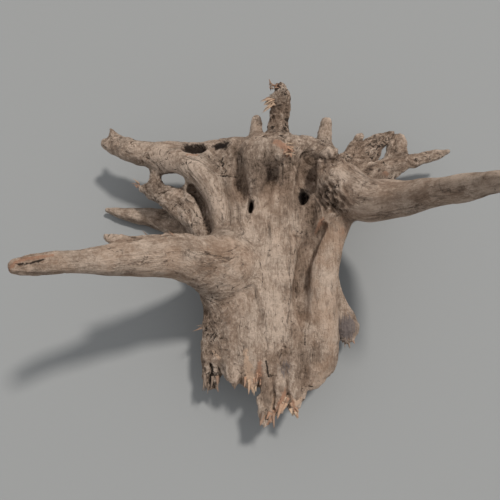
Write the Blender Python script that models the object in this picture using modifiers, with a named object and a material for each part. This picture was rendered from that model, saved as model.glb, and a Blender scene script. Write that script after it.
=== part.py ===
"""Dry root: the weathered crown of a small tree, broken off and lying on its side.

One solid that grew as one piece. The stem runs along -Y and ends in a rotten, broken lip,
and the crown at +Y carries the roots. Two long roots rise to the left and right like
horns. The other roots are short, broken and near the ground, and four of them are worn
flat where they rest. Metres, +Z up, the ground at Z = 0.
"""

import bmesh
import bpy
from mathutils import Vector

NAME = "dry_root"

# Driving dimensions.
VOXEL = 0.0040            # grain of the remesh that grows the limbs together
SMOOTH_PASSES = 5         # rounds the joints between limbs
TRIANGLES = 7600          # budget of the thinned skin, before the holes are bored
HOLE_SIDES = 10           # sides of a bored hole
HOLE_TAPER = 0.6          # radius at the bottom of a hole, over the radius at its mouth
GROUND_SPAN = 2.0         # side of the block that wears the feet flat
GROUND_DEPTH = 0.20       # its thickness

# A limb is a tapering stem. Its first number is its thickness over its width, and then
# each point of its centre line has x, y, z and half the width.
STEM = {
    "face": (0.6, ((-0.025, 0.141, 0.108, 0.095), (-0.031, 0.021, 0.106, 0.090),
                   (-0.031, -0.069, 0.098, 0.082), (-0.031, -0.149, 0.088, 0.076),
                   (-0.035, -0.191, 0.084, 0.064), (-0.033, -0.215, 0.084, 0.050))),
    "left_edge": (1.0, ((-0.125, -0.039, 0.155, 0.034), (-0.105, -0.063, 0.120, 0.032),
                        (-0.097, -0.109, 0.086, 0.032), (-0.100, -0.164, 0.070, 0.032),
                        (-0.111, -0.209, 0.060, 0.020), (-0.115, -0.241, 0.055, 0.011))),
    "valley": (0.80, ((0.035, 0.121, 0.105, 0.062), (0.033, -0.009, 0.092, 0.052),
                      (0.033, -0.109, 0.086, 0.050), (0.029, -0.179, 0.082, 0.046),
                      (0.021, -0.229, 0.083, 0.036))),
    "flank": (1.0, ((0.109, 0.091, 0.118, 0.046), (0.091, 0.026, 0.112, 0.035),
                    (0.077, -0.039, 0.108, 0.031), (0.075, -0.099, 0.100, 0.033),
                    (0.071, -0.149, 0.090, 0.039), (0.065, -0.194, 0.082, 0.034),
                    (0.055, -0.235, 0.079, 0.020))),
    "flange": (0.6, ((0.091, 0.041, 0.100, 0.036), (0.093, -0.029, 0.082, 0.031),
                     (0.101, -0.079, 0.072, 0.034), (0.116, -0.127, 0.064, 0.032),
                     (0.131, -0.159, 0.060, 0.026))),
}
LIP = {
    "lobe_b": (0.7, ((-0.069, -0.184, 0.096, 0.028), (-0.071, -0.237, 0.103, 0.012))),
    "lobe_c": (0.7, ((-0.039, -0.184, 0.096, 0.028), (-0.041, -0.243, 0.096, 0.012))),
    "lobe_d": (0.6, ((-0.011, -0.189, 0.090, 0.042), (-0.009, -0.259, 0.090, 0.026),
                     (-0.013, -0.287, 0.089, 0.018), (-0.022, -0.307, 0.088, 0.008))),
    "lobe_e": (0.8, ((0.021, -0.199, 0.086, 0.036), (0.026, -0.257, 0.084, 0.022),
                     (0.029, -0.285, 0.084, 0.010))),
    "lobe_f": (0.8, ((0.069, -0.154, 0.085, 0.040), (0.083, -0.199, 0.077, 0.026),
                     (0.084, -0.223, 0.075, 0.012))),
}
CROWN = {
    "rim": (1.0, ((-0.185, 0.187, 0.106, 0.026), (-0.133, 0.185, 0.112, 0.036),
                  (-0.075, 0.186, 0.120, 0.038), (-0.015, 0.186, 0.126, 0.042),
                  (0.045, 0.183, 0.128, 0.042), (0.100, 0.177, 0.122, 0.034))),
    "mass": (0.85, ((-0.130, 0.126, 0.100, 0.052), (-0.045, 0.136, 0.100, 0.070),
                    (0.025, 0.136, 0.102, 0.074), (0.095, 0.121, 0.104, 0.060))),
    "knob": (1.0, ((-0.039, 0.061, 0.150, 0.018), (-0.037, 0.093, 0.170, 0.026),
                   (-0.027, 0.127, 0.190, 0.030), (-0.001, 0.137, 0.203, 0.021),
                   (0.019, 0.140, 0.210, 0.010))),
    "left_fold": (1.0, ((-0.195, 0.191, 0.108, 0.024), (-0.153, 0.155, 0.122, 0.030),
                        (-0.113, 0.105, 0.134, 0.030), (-0.091, 0.051, 0.134, 0.028),
                        (-0.085, -0.009, 0.126, 0.028))),
    "right_block": (1.0, ((0.083, 0.137, 0.142, 0.032), (0.103, 0.145, 0.180, 0.016))),
    "tall_stub": (1.0, ((0.003, 0.181, 0.110, 0.032), (0.008, 0.231, 0.142, 0.021),
                        (0.012, 0.269, 0.168, 0.020), (0.015, 0.303, 0.188, 0.013))),
    "tall_splinter": (1.0, ((0.011, 0.287, 0.182, 0.014), (-0.007, 0.273, 0.180, 0.009),
                            (-0.023, 0.261, 0.176, 0.005))),
    "peg_left": (1.0, ((-0.033, 0.201, 0.120, 0.016), (-0.033, 0.243, 0.150, 0.011),
                       (-0.033, 0.257, 0.160, 0.007))),
    "peg_right": (1.0, ((0.096, 0.191, 0.115, 0.020), (0.097, 0.225, 0.135, 0.015),
                        (0.101, 0.253, 0.150, 0.008))),
}
ARMS = {
    "arm_left": (1.0, ((-0.020, 0.001, 0.092, 0.058), (-0.105, -0.035, 0.160, 0.050),
                       (-0.163, -0.045, 0.206, 0.037), (-0.202, -0.055, 0.230, 0.031),
                       (-0.240, -0.066, 0.252, 0.026), (-0.300, -0.080, 0.287, 0.018),
                       (-0.344, -0.093, 0.313, 0.017), (-0.370, -0.107, 0.336, 0.011))),
    "arm_splinter": (1.0, ((-0.145, -0.019, 0.196, 0.022), (-0.203, -0.032, 0.228, 0.014),
                           (-0.238, -0.035, 0.250, 0.010), (-0.267, -0.030, 0.262, 0.007))),
    "arm_right": (1.0, ((0.065, 0.156, 0.100, 0.050), (0.109, 0.125, 0.140, 0.044),
                        (0.137, 0.093, 0.156, 0.044), (0.159, 0.073, 0.168, 0.041),
                        (0.183, 0.063, 0.186, 0.036), (0.211, 0.054, 0.214, 0.030),
                        (0.239, 0.042, 0.255, 0.025), (0.259, 0.027, 0.300, 0.021),
                        (0.279, 0.010, 0.350, 0.018), (0.296, -0.005, 0.395, 0.014),
                        (0.308, -0.016, 0.430, 0.009))),
}
LOW_ROOTS = {
    "back_left": (1.0, ((-0.095, 0.151, 0.108, 0.050), (-0.145, 0.179, 0.106, 0.043),
                        (-0.193, 0.189, 0.104, 0.036), (-0.229, 0.197, 0.104, 0.031),
                        (-0.262, 0.205, 0.102, 0.027), (-0.302, 0.223, 0.098, 0.021),
                        (-0.339, 0.235, 0.092, 0.011))),
    "back_left_fork": (1.0, ((-0.285, 0.227, 0.098, 0.020), (-0.321, 0.255, 0.098, 0.009))),
    "bridge": (1.0, ((-0.227, 0.183, 0.100, 0.020), (-0.235, 0.159, 0.094, 0.015),
                     (-0.235, 0.136, 0.086, 0.016))),
    "middle_left": (0.75, ((-0.111, 0.021, 0.098, 0.040), (-0.137, 0.063, 0.096, 0.034),
                           (-0.171, 0.098, 0.090, 0.030), (-0.209, 0.122, 0.085, 0.022),
                           (-0.241, 0.137, 0.080, 0.016), (-0.269, 0.149, 0.075, 0.008))),
    "front_left": (1.0, ((-0.095, 0.031, 0.080, 0.048), (-0.145, 0.061, 0.050, 0.036),
                         (-0.190, 0.087, 0.030, 0.029), (-0.237, 0.103, 0.019, 0.022),
                         (-0.279, 0.110, 0.015, 0.018), (-0.312, 0.117, 0.015, 0.013),
                         (-0.345, 0.125, 0.016, 0.007))),
    "spike_a": (0.8, ((0.105, 0.166, 0.092, 0.032), (0.149, 0.209, 0.076, 0.024),
                      (0.172, 0.243, 0.068, 0.016), (0.189, 0.277, 0.060, 0.008))),
    "spike_b": (0.8, ((0.120, 0.161, 0.085, 0.034), (0.179, 0.215, 0.078, 0.026),
                      (0.218, 0.249, 0.073, 0.018), (0.253, 0.275, 0.068, 0.008))),
    "spike_c": (0.7, ((0.155, 0.151, 0.070, 0.034), (0.213, 0.187, 0.066, 0.026),
                      (0.244, 0.224, 0.070, 0.024), (0.270, 0.257, 0.072, 0.018))),
    "spike_d": (0.8, ((0.115, 0.141, 0.080, 0.044), (0.195, 0.180, 0.068, 0.027),
                      (0.248, 0.201, 0.068, 0.021), (0.302, 0.215, 0.066, 0.016),
                      (0.345, 0.227, 0.064, 0.010), (0.375, 0.239, 0.062, 0.006))),
}
FEET = {
    "heel": (1.0, ((-0.010, -0.069, 0.080, 0.050), (-0.011, -0.144, 0.048, 0.042),
                   (-0.013, -0.181, 0.008, 0.032))),
    "back_foot": (1.0, ((-0.035, 0.136, 0.080, 0.055), (-0.045, 0.186, 0.036, 0.040),
                        (-0.051, 0.209, 0.004, 0.028))),
    "right_foot": (1.0, ((0.125, 0.136, 0.070, 0.036), (0.181, 0.147, 0.036, 0.030),
                         (0.203, 0.151, 0.004, 0.024))),
}

# Holes bored by rot and beetles: centre of the mouth, way out of the wood, radius, depth.
HOLES = {
    "round_hole": ((0.049, 0.081, 0.150), (0.05, -0.30, 1.0), 0.0085, 0.030),
    "slit_hole": ((-0.041, 0.063, 0.165), (0.05, -0.50, 1.0), 0.0055, 0.025),
    "crown_hollow": ((-0.137, 0.197, 0.140), (0.10, -0.30, 1.0), 0.0110, 0.020),
}


def clear_scene():
    """Removes every object that the start-up file brings."""
    for item in list(bpy.data.objects):
        bpy.data.objects.remove(item, do_unlink=True)


def wood():
    """Returns the weathered wood material."""
    material = bpy.data.materials.new("weathered_wood")
    material.use_nodes = True
    shader = material.node_tree.nodes["Principled BSDF"]
    shader.inputs["Base Color"].default_value = (0.27, 0.19, 0.135, 1.0)
    shader.inputs["Roughness"].default_value = 0.85
    shader.inputs["Metallic"].default_value = 0.0
    return material


def new_collection(name):
    """Returns a new collection, linked to the scene."""
    group = bpy.data.collections.new(name)
    bpy.context.scene.collection.children.link(group)
    return group


def mesh_of(item):
    """Returns the evaluated mesh of an object, with its modifiers in it."""
    bpy.context.view_layer.update()
    graph = bpy.context.evaluated_depsgraph_get()
    return bpy.data.meshes.new_from_object(item.evaluated_get(graph))


def new_curve(name, dimensions, points, closed):
    """Links and returns a smooth Bezier curve object through (x, y, z, radius) points."""
    curve = bpy.data.curves.new(name, "CURVE")
    curve.dimensions = dimensions
    spline = curve.splines.new("BEZIER")
    spline.use_cyclic_u = closed
    spline.bezier_points.add(len(points) - 1)
    for knot, (x, y, z, radius) in zip(spline.bezier_points, points):
        knot.co = (x, y, z)
        knot.radius = radius
        knot.handle_left_type = "AUTO"
        knot.handle_right_type = "AUTO"
    item = bpy.data.objects.new(name, curve)
    bpy.context.scene.collection.objects.link(item)
    return item


def limb_mesh(name, flatness, points):
    """Returns a closed tapering tube, with an oval section, along a smooth curve."""
    oval = ((1, 0, 0, 1), (0, flatness, 0, 1), (-1, 0, 0, 1), (0, -flatness, 0, 1))
    section = new_curve(name + "_section", "2D", oval, closed=True)
    section.data.resolution_u = 4
    limb = new_curve(name, "3D", points, closed=False)
    limb.data.resolution_u = 5
    limb.data.twist_mode = "Z_UP"
    limb.data.bevel_mode = "OBJECT"
    limb.data.bevel_object = section
    limb.data.use_fill_caps = True
    tube = mesh_of(limb)
    bpy.data.objects.remove(limb, do_unlink=True)
    bpy.data.objects.remove(section, do_unlink=True)
    return tube


def plant(groups, home):
    """Returns one object that holds every limb of the groups as an overlapping tube."""
    together = bmesh.new()
    for group in groups:
        for name, (flatness, points) in group.items():
            tube = limb_mesh(name, flatness, points)
            together.from_mesh(tube)
            bpy.data.meshes.remove(tube)
    bmesh.ops.remove_doubles(together, verts=together.verts, dist=0.0001)
    mesh = bpy.data.meshes.new(NAME)
    together.to_mesh(mesh)
    together.free()
    item = bpy.data.objects.new(NAME, mesh)
    home.objects.link(item)
    return item


def grow(item):
    """Grows the tubes into one skin, rounds the joints and thins the mesh."""
    remesh = item.modifiers.new("grow_together", "REMESH")
    remesh.mode = "VOXEL"
    remesh.voxel_size = VOXEL
    smooth = item.modifiers.new("round_joints", "SMOOTH")
    smooth.factor = 0.5
    smooth.iterations = SMOOTH_PASSES
    skin = mesh_of(item)
    item.modifiers.clear()
    item.data = skin
    thin = item.modifiers.new("thin", "DECIMATE")
    thin.ratio = TRIANGLES / sum(len(face.vertices) - 2 for face in skin.polygons)
    item.data = mesh_of(item)
    item.modifiers.clear()


def new_cutter(name, bm, tools):
    """Links and returns an object that only cuts, made from the bmesh."""
    mesh = bpy.data.meshes.new(name)
    bm.to_mesh(mesh)
    bm.free()
    cutter = bpy.data.objects.new(name, mesh)
    cutter.hide_render = True
    cutter.display_type = "WIRE"
    tools.objects.link(cutter)
    return cutter


def hole_cutter(name, mouth, way_out, radius, depth, tools):
    """Returns a tapered bore that reaches as far out of the wood as it goes in."""
    bm = bmesh.new()
    bmesh.ops.create_cone(bm, cap_ends=True, segments=HOLE_SIDES,
                          radius1=radius * HOLE_TAPER, radius2=radius, depth=2 * depth)
    cutter = new_cutter(name, bm, tools)
    cutter.location = mouth
    cutter.rotation_euler = Vector(way_out).to_track_quat("Z", "Y").to_euler()
    return cutter


def ground_cutter(tools):
    """Returns a block whose top is the ground."""
    bm = bmesh.new()
    bmesh.ops.create_cube(bm, size=1.0)
    bmesh.ops.scale(bm, verts=bm.verts, vec=(GROUND_SPAN, GROUND_SPAN, GROUND_DEPTH))
    cutter = new_cutter("ground", bm, tools)
    cutter.location.z = -GROUND_DEPTH / 2
    return cutter


def cut(item, cutter):
    """Takes the cutter's shape out of the item with an exact Boolean."""
    step = item.modifiers.new("cut_" + cutter.name, "BOOLEAN")
    step.operation = "DIFFERENCE"
    step.solver = "EXACT"
    step.object = cutter


def main():
    """Builds the dry root."""
    clear_scene()
    home = new_collection(NAME)
    tools = new_collection("cutters")
    root = plant((STEM, LIP, CROWN, ARMS, LOW_ROOTS, FEET), home)
    grow(root)
    root.data.materials.clear()
    root.data.materials.append(wood())
    for name, (mouth, way_out, radius, depth) in HOLES.items():
        cut(root, hole_cutter(name, mouth, way_out, radius, depth, tools))
    cut(root, ground_cutter(tools))


main()
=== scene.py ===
"""A weathered dry root: a broken stem plate, a crown of roots round its far end and two long side arms.

The wood is one closed skin. Each limb is an oval profile carried along a smooth path; the limbs are melted
into one another on a lattice of distances, holes and splits are carved out of the sum, and the level where
the distance is nought becomes the skin. Grain, ropes of fibre, cracks and broken edges are then raised on it.
"""

import logging
import math
from dataclasses import dataclass, field
from enum import Enum

import bpy
import numpy as np
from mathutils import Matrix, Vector


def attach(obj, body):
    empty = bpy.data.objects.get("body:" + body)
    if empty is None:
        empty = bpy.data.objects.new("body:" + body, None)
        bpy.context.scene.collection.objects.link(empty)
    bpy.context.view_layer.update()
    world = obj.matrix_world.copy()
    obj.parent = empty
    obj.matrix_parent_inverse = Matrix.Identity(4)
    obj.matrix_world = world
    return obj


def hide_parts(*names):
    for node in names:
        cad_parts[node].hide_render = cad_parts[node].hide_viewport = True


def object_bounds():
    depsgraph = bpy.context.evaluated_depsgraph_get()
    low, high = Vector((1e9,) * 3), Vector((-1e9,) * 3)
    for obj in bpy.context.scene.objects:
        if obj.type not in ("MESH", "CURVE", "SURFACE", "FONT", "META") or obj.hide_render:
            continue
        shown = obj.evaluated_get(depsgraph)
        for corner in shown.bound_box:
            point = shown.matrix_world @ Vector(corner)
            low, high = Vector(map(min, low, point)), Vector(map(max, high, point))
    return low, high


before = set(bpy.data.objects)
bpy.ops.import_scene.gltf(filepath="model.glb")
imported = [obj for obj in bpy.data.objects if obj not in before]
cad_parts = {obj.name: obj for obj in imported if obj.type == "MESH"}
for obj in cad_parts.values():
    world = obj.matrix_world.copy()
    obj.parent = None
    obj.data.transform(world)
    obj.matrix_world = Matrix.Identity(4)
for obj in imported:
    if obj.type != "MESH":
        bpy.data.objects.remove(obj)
CAD_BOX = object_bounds()

LOG = logging.getLogger("dry_root")
BODY = "root"
NODE = "dry_root"
LATTICE_STEP = 0.00316  # spacing of the lattice's points
LATTICE_PAD = 0.012  # room kept round the wood
COURSE_STEP = 0.008  # longest straight length of a limb's course
THINNEST = 0.002  # least half-width of a limb
FAR = 1.0  # a distance that counts as nowhere near the wood
GRAIN_BLEND = 0.007  # how far a limb's grain carries into its neighbours
GRAIN_REACH = 0.03  # furthest that a limb's grain is asked for
GROUND_FADE = 0.010  # height below which the relief dies away
DRAWN_IN = 0.0010  # how far the skin is drawn in, to leave room for the relief
BLUNT = 2.4  # how much faster the distance grows off a limb's ends

Array = np.ndarray
Path = tuple[tuple[float, float, float, float], ...]


class Carve(Enum):
    """How a cut goes into the wood."""

    HOLE = 0.002
    HOLLOW = 0.008
    GROOVE = 0.012


class Look(Enum):
    """A quality of the wood that a mark can lay on the skin; each is kept as an attribute."""

    WARM = "warm"
    # lighter or darker wood; some darker marks are painted shade and painted shadow
    PALE = "pale"
    FRESH = "fresh"
    RED = "red"
    # near-black: rot, and painted shade inside holes, slits and pits
    ROT = "rot"
    STAIN = "stain"
    SWELL = "swell"
    RAGGED = "ragged"


def unit(vectors: Array) -> Array:
    """Each vector divided by its own length."""
    return vectors / np.maximum(np.linalg.norm(vectors, axis=-1, keepdims=True), 1e-12)


def smooth_path(path: Path, step: float = COURSE_STEP) -> Array:
    """Sample a Catmull-Rom curve through the given points.

    Between two points the curve is half of (2B + (C-A)t + (2A-5B+4C-D)t^2 + (3B-A-3C+D)t^3).

    Args:
        path: points as x, y, z and half-width.
        step: wished distance between samples.

    Returns:
        The samples, one row each, as x, y, z and half-width.
    """
    points = np.array(path, float)
    ends = np.vstack([2 * points[0] - points[1], points, 2 * points[-1] - points[-2]])
    rows = []
    for a, b, c, d in zip(ends, ends[1:], ends[2:], ends[3:]):
        count = max(2, int(np.ceil(np.linalg.norm((c - b)[:3]) / step)))
        t = (np.arange(count) / count)[:, None]
        square, cube = 2 * a - 5 * b + 4 * c - d, 3 * b - a - 3 * c + d
        rows.append(0.5 * (2 * b + (c - a) * t + square * t**2 + cube * t**3))
    rows.append(points[-1:])
    course = np.vstack(rows)
    course[:, 3] = np.maximum(course[:, 3], THINNEST)
    return course


@dataclass(frozen=True)
class Limb:
    """An oval limb of wood: its path with half-widths, the shape of its section and the look of its wood."""

    path: Path
    flat: float = 1.0
    roll: float = 0.0
    spines: tuple[tuple[float, float, float], ...] = ()
    melt: float = 0.012
    warm: float = 0.35
    pale: float = 0.4
    rope: float = 1.0
    level_grain: bool = False
    voice: float = 1.0

    def course(self) -> "Course":
        """The limb's sampled centre line with its side and up directions."""
        return Course.along(self)


@dataclass(frozen=True)
class Course:
    """A limb's centre line cut into short straight lengths."""

    limb: Limb
    start: Array
    way: Array
    side: Array
    up: Array
    length: Array
    half: Array
    gone: Array

    @classmethod
    def along(cls, limb: Limb) -> "Course":
        """Build the course of a limb.

        The side direction is level and square to the path; the up direction is square to both; the pair is
        then rolled about the path.

        Args:
            limb: the limb to follow.

        Returns:
            The course.
        """
        samples = smooth_path(limb.path)
        centre, half = samples[:, :3], samples[:, 3]
        leg = np.diff(centre, axis=0)
        length = np.linalg.norm(leg, axis=1)
        way = unit(leg)
        level = unit(np.cross(way, (0.0, 0.0, 1.0)) + (1e-4, 0.0, 0.0))
        rise = np.cross(level, way)
        gone = np.concatenate([[0.0], np.cumsum(length)])
        angle = math.radians(limb.roll)
        side = level * np.cos(angle) + rise * np.sin(angle)
        up = rise * np.cos(angle) - level * np.sin(angle)
        return cls(limb, centre, way, side, up, length, half, gone)

    def shape(self, a: Array, b: Array) -> Array | float:
        """The section's reach for each direction: one, raised or sunk by a bell curve at each spine."""
        if not self.limb.spines:
            return 1.0
        angle = np.arctan2(b, a)
        reach = np.ones_like(angle)
        for at, height, width in self.limb.spines:
            off = np.abs((angle - math.radians(at) + math.pi) % (2 * math.pi) - math.pi) / math.radians(width)
            reach += height * np.exp(-off * off)
        return reach

    def blunt(self, j: int, along: Array) -> Array | float:
        """How fast the distance grows past this length: faster off the limb's two ends, which are blunt."""
        ends = (j == 0) * (along < 0.0) + (j == len(self.length) - 1) * (along > self.length[j])
        return 1.0 + (BLUNT - 1.0) * ends

    def measure(self, j: int, x: Array, y: Array, z: Array) -> tuple[Array, Array, Array, Array]:
        """Measure points against one straight length.

        The distance is the root of a^2 + (b / flatness)^2 + e^2 less the half-width there, where a and b lie
        across the limb and e is how far the point is past the length's ends.

        Args:
            j: number of the straight length.
            x, y, z: the points, which may be broadcast against each other.

        Returns:
            Distance, offset to the side, offset upwards, and distance gone along the limb.
        """
        dx, dy, dz = x - self.start[j, 0], y - self.start[j, 1], z - self.start[j, 2]
        along = dx * self.way[j, 0] + dy * self.way[j, 1] + dz * self.way[j, 2]
        a = dx * self.side[j, 0] + dy * self.side[j, 1] + dz * self.side[j, 2]
        b = dx * self.up[j, 0] + dy * self.up[j, 1] + dz * self.up[j, 2]
        held = np.clip(along, 0.0, self.length[j])
        past = (along - held) * self.blunt(j, along)
        half = self.half[j] + (self.half[j + 1] - self.half[j]) * (held / self.length[j])
        tall = b / self.limb.flat
        far = np.sqrt(a * a + tall * tall + past * past) - half * self.shape(a, tall)
        return far, a, b, self.gone[j] + along

    def reach(self, j: int, pad: float) -> tuple[Array, Array]:
        """Lowest and highest corner of the room that one straight length can touch."""
        swell = 1.0 + sum(max(0.0, s[1]) for s in self.limb.spines)
        room = max(self.half[j], self.half[j + 1]) * swell * max(1.0, self.limb.flat) + pad
        ends = self.start[j : j + 2]
        return ends.min(0) - room, ends.max(0) + room


@dataclass
class Lattice:
    """A block of evenly spaced points that holds the distance to the wood."""

    low: Array
    step: float
    values: Array

    @classmethod
    def round_box(cls, low: Array, high: Array, step: float) -> "Lattice":
        """An empty lattice that covers a box."""
        counts = np.ceil((high - low) / step).astype(int) + 1
        return cls(low, step, np.full(tuple(counts), FAR, np.float32))

    def window(self, low: Array, high: Array) -> tuple[tuple[slice, ...], tuple[Array, ...]]:
        """Find the lattice points inside a box.

        Args:
            low: the box's lowest corner.
            high: its highest corner.

        Returns:
            Slices into the lattice, and the points' x, y and z ready to be broadcast.
        """
        first = np.clip(np.floor((low - self.low) / self.step).astype(int), 0, self.values.shape)
        last = np.clip(np.ceil((high - self.low) / self.step).astype(int) + 1, 0, self.values.shape)
        axes = [self.low[k] + self.step * np.arange(first[k], last[k], dtype=np.float32) for k in range(3)]
        cut = tuple(slice(int(a), int(b)) for a, b in zip(first, last))
        return cut, (axes[0][:, None, None], axes[1][None, :, None], axes[2][None, None, :])

    def limb_distance(self, course: Course) -> tuple[tuple[slice, ...], Array]:
        """The least distance from each nearby point to any straight length of one limb."""
        boxes = [course.reach(j, LATTICE_PAD + course.limb.melt) for j in range(len(course.length))]
        low = np.min([b[0] for b in boxes], axis=0)
        high = np.max([b[1] for b in boxes], axis=0)
        whole, _ = self.window(low, high)
        near = np.full(tuple(s.stop - s.start for s in whole), FAR, np.float32)
        for j, (lo, hi) in enumerate(boxes):
            cut, (x, y, z) = self.window(lo, hi)
            part = tuple(slice(c.start - w.start, c.stop - w.start) for c, w in zip(cut, whole))
            far = course.measure(j, x, y, z)[0].astype(np.float32)
            near[part] = np.minimum(near[part], far)
        return whole, near

    def add(self, course: Course) -> None:
        """Melt a limb into the wood: a soft least of the two distances, rounded over the melt length."""
        cut, near = self.limb_distance(course)
        old = self.values[cut]
        k = course.limb.melt
        share = np.clip(0.5 + 0.5 * (near - old) / k, 0.0, 1.0)
        self.values[cut] = near + (old - near) * share - k * share * (1.0 - share)

    def carve(self, course: Course, soft: float) -> None:
        """Cut a limb-shaped room out: a soft greatest of the wood and the room turned inside out."""
        cut, near = self.limb_distance(course)
        old = self.values[cut]
        share = np.clip(0.5 - 0.5 * (-near - old) / soft, 0.0, 1.0)
        carved = -near + (old + near) * share + soft * share * (1.0 - share)
        self.values[cut] = np.where(near >= FAR, old, carved)

    def ground(self) -> None:
        """Cut the wood off level at the ground."""
        z = self.low[2] + self.step * np.arange(self.values.shape[2], dtype=np.float32)
        self.values = np.maximum(self.values, -z[None, None, :])

    def soften(self) -> None:
        """Even the lattice out: on each axis in turn, a quarter of both neighbours and half of the value."""
        for axis in range(3):
            ahead, behind = np.roll(self.values, -1, axis), np.roll(self.values, 1, axis)
            self.values = 0.5 * self.values + 0.25 * (ahead + behind)

    def skin(self) -> tuple[Array, Array]:
        """Wrap the level where the distance is nought in a closed net of four-sided faces.

        Each cell that the level passes through gets one point, the mean of the places where it crosses the
        cell's edges; each lattice edge it crosses gets a face between the four cells round that edge.

        Returns:
            Points, and faces as point numbers.
        """
        f = self.values
        inside = f < 0.0
        size = tuple(n - 1 for n in f.shape)
        filled = np.zeros(size, np.int8)
        corners = [(i, j, k) for i in (0, 1) for j in (0, 1) for k in (0, 1)]
        for i, j, k in corners:
            filled += inside[i : i + size[0], j : j + size[1], k : k + size[2]]
        live = (filled > 0) & (filled < 8)
        cells = np.argwhere(live)
        number = np.full(size, -1, np.int32)
        number[live] = np.arange(len(cells), dtype=np.int32)
        total = np.zeros((len(cells), 3))
        hits = np.zeros(len(cells))
        for one in corners:
            for axis in range(3):
                if one[axis]:
                    continue
                two = tuple(c + (k == axis) for k, c in enumerate(one))
                va = f[tuple((cells + one).T)]
                vb = f[tuple((cells + two).T)]
                cross = (va < 0) != (vb < 0)
                share = np.where(cross, va / np.where(cross, va - vb, 1.0), 0.0)
                spot = np.array(one, float)[None, :] + share[:, None] * np.eye(3)[axis]
                total += spot * cross[:, None]
                hits += cross
        points = self.low + self.step * (cells + total / hits[:, None])
        faces = []
        for axis in range(3):
            u, v = (axis + 1) % 3, (axis + 2) % 3
            ahead = np.roll(inside, -1, axis)
            edge = inside != ahead
            for k in range(3):
                rim = [slice(None)] * 3
                rim[k] = slice(0, 1)
                edge[tuple(rim)] = False
                rim[k] = slice(-1, None)
                edge[tuple(rim)] = False
            base = np.argwhere(edge)
            back_u, back_v = np.eye(3, dtype=int)[u], np.eye(3, dtype=int)[v]
            ring = [base - back_u - back_v, base - back_v, base, base - back_u]
            quad = np.stack([number[tuple(r.T)] for r in ring], axis=1)
            outwards = inside[tuple(base.T)]
            faces.append(np.where(outwards[:, None], quad, quad[:, ::-1]))
        return points, np.vstack(faces)


@dataclass(frozen=True)
class Noise:
    """Seeded gradient noise: a smooth value between about -1 and 1 at every point of space."""

    seed: int

    def at(self, points: Array) -> Array:
        """Read the noise.

        At each corner of the unit cube round a point a random direction is multiplied with the way to the
        point, and the eight results are mixed with the weight 6t^5 - 15t^4 + 10t^3 on each axis.

        Args:
            points: places, already scaled.

        Returns:
            One value for each place.
        """
        rng = np.random.default_rng(self.seed)
        order = rng.permutation(256)
        arrows = unit(rng.normal(size=(256, 3)))
        floor = np.floor(points).astype(int)
        t = points - floor
        w = t**3 * (t * (t * 6 - 15) + 10)
        value = np.zeros(len(points))
        for corner in np.ndindex(2, 2, 2):
            c = floor + corner
            key = order[(order[(order[c[:, 0] & 255] + c[:, 1]) & 255] + c[:, 2]) & 255]
            share = np.prod(np.where(corner, w, 1 - w), axis=1)
            value += share * np.einsum("ij,ij->i", arrows[key], t - corner)
        return value * 1.6

    def ridged(self, points: Array) -> Array:
        """Sharp crests: one less the size of the noise, squared."""
        return (1.0 - np.clip(np.abs(self.at(points)), 0.0, 1.0)) ** 2


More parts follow.
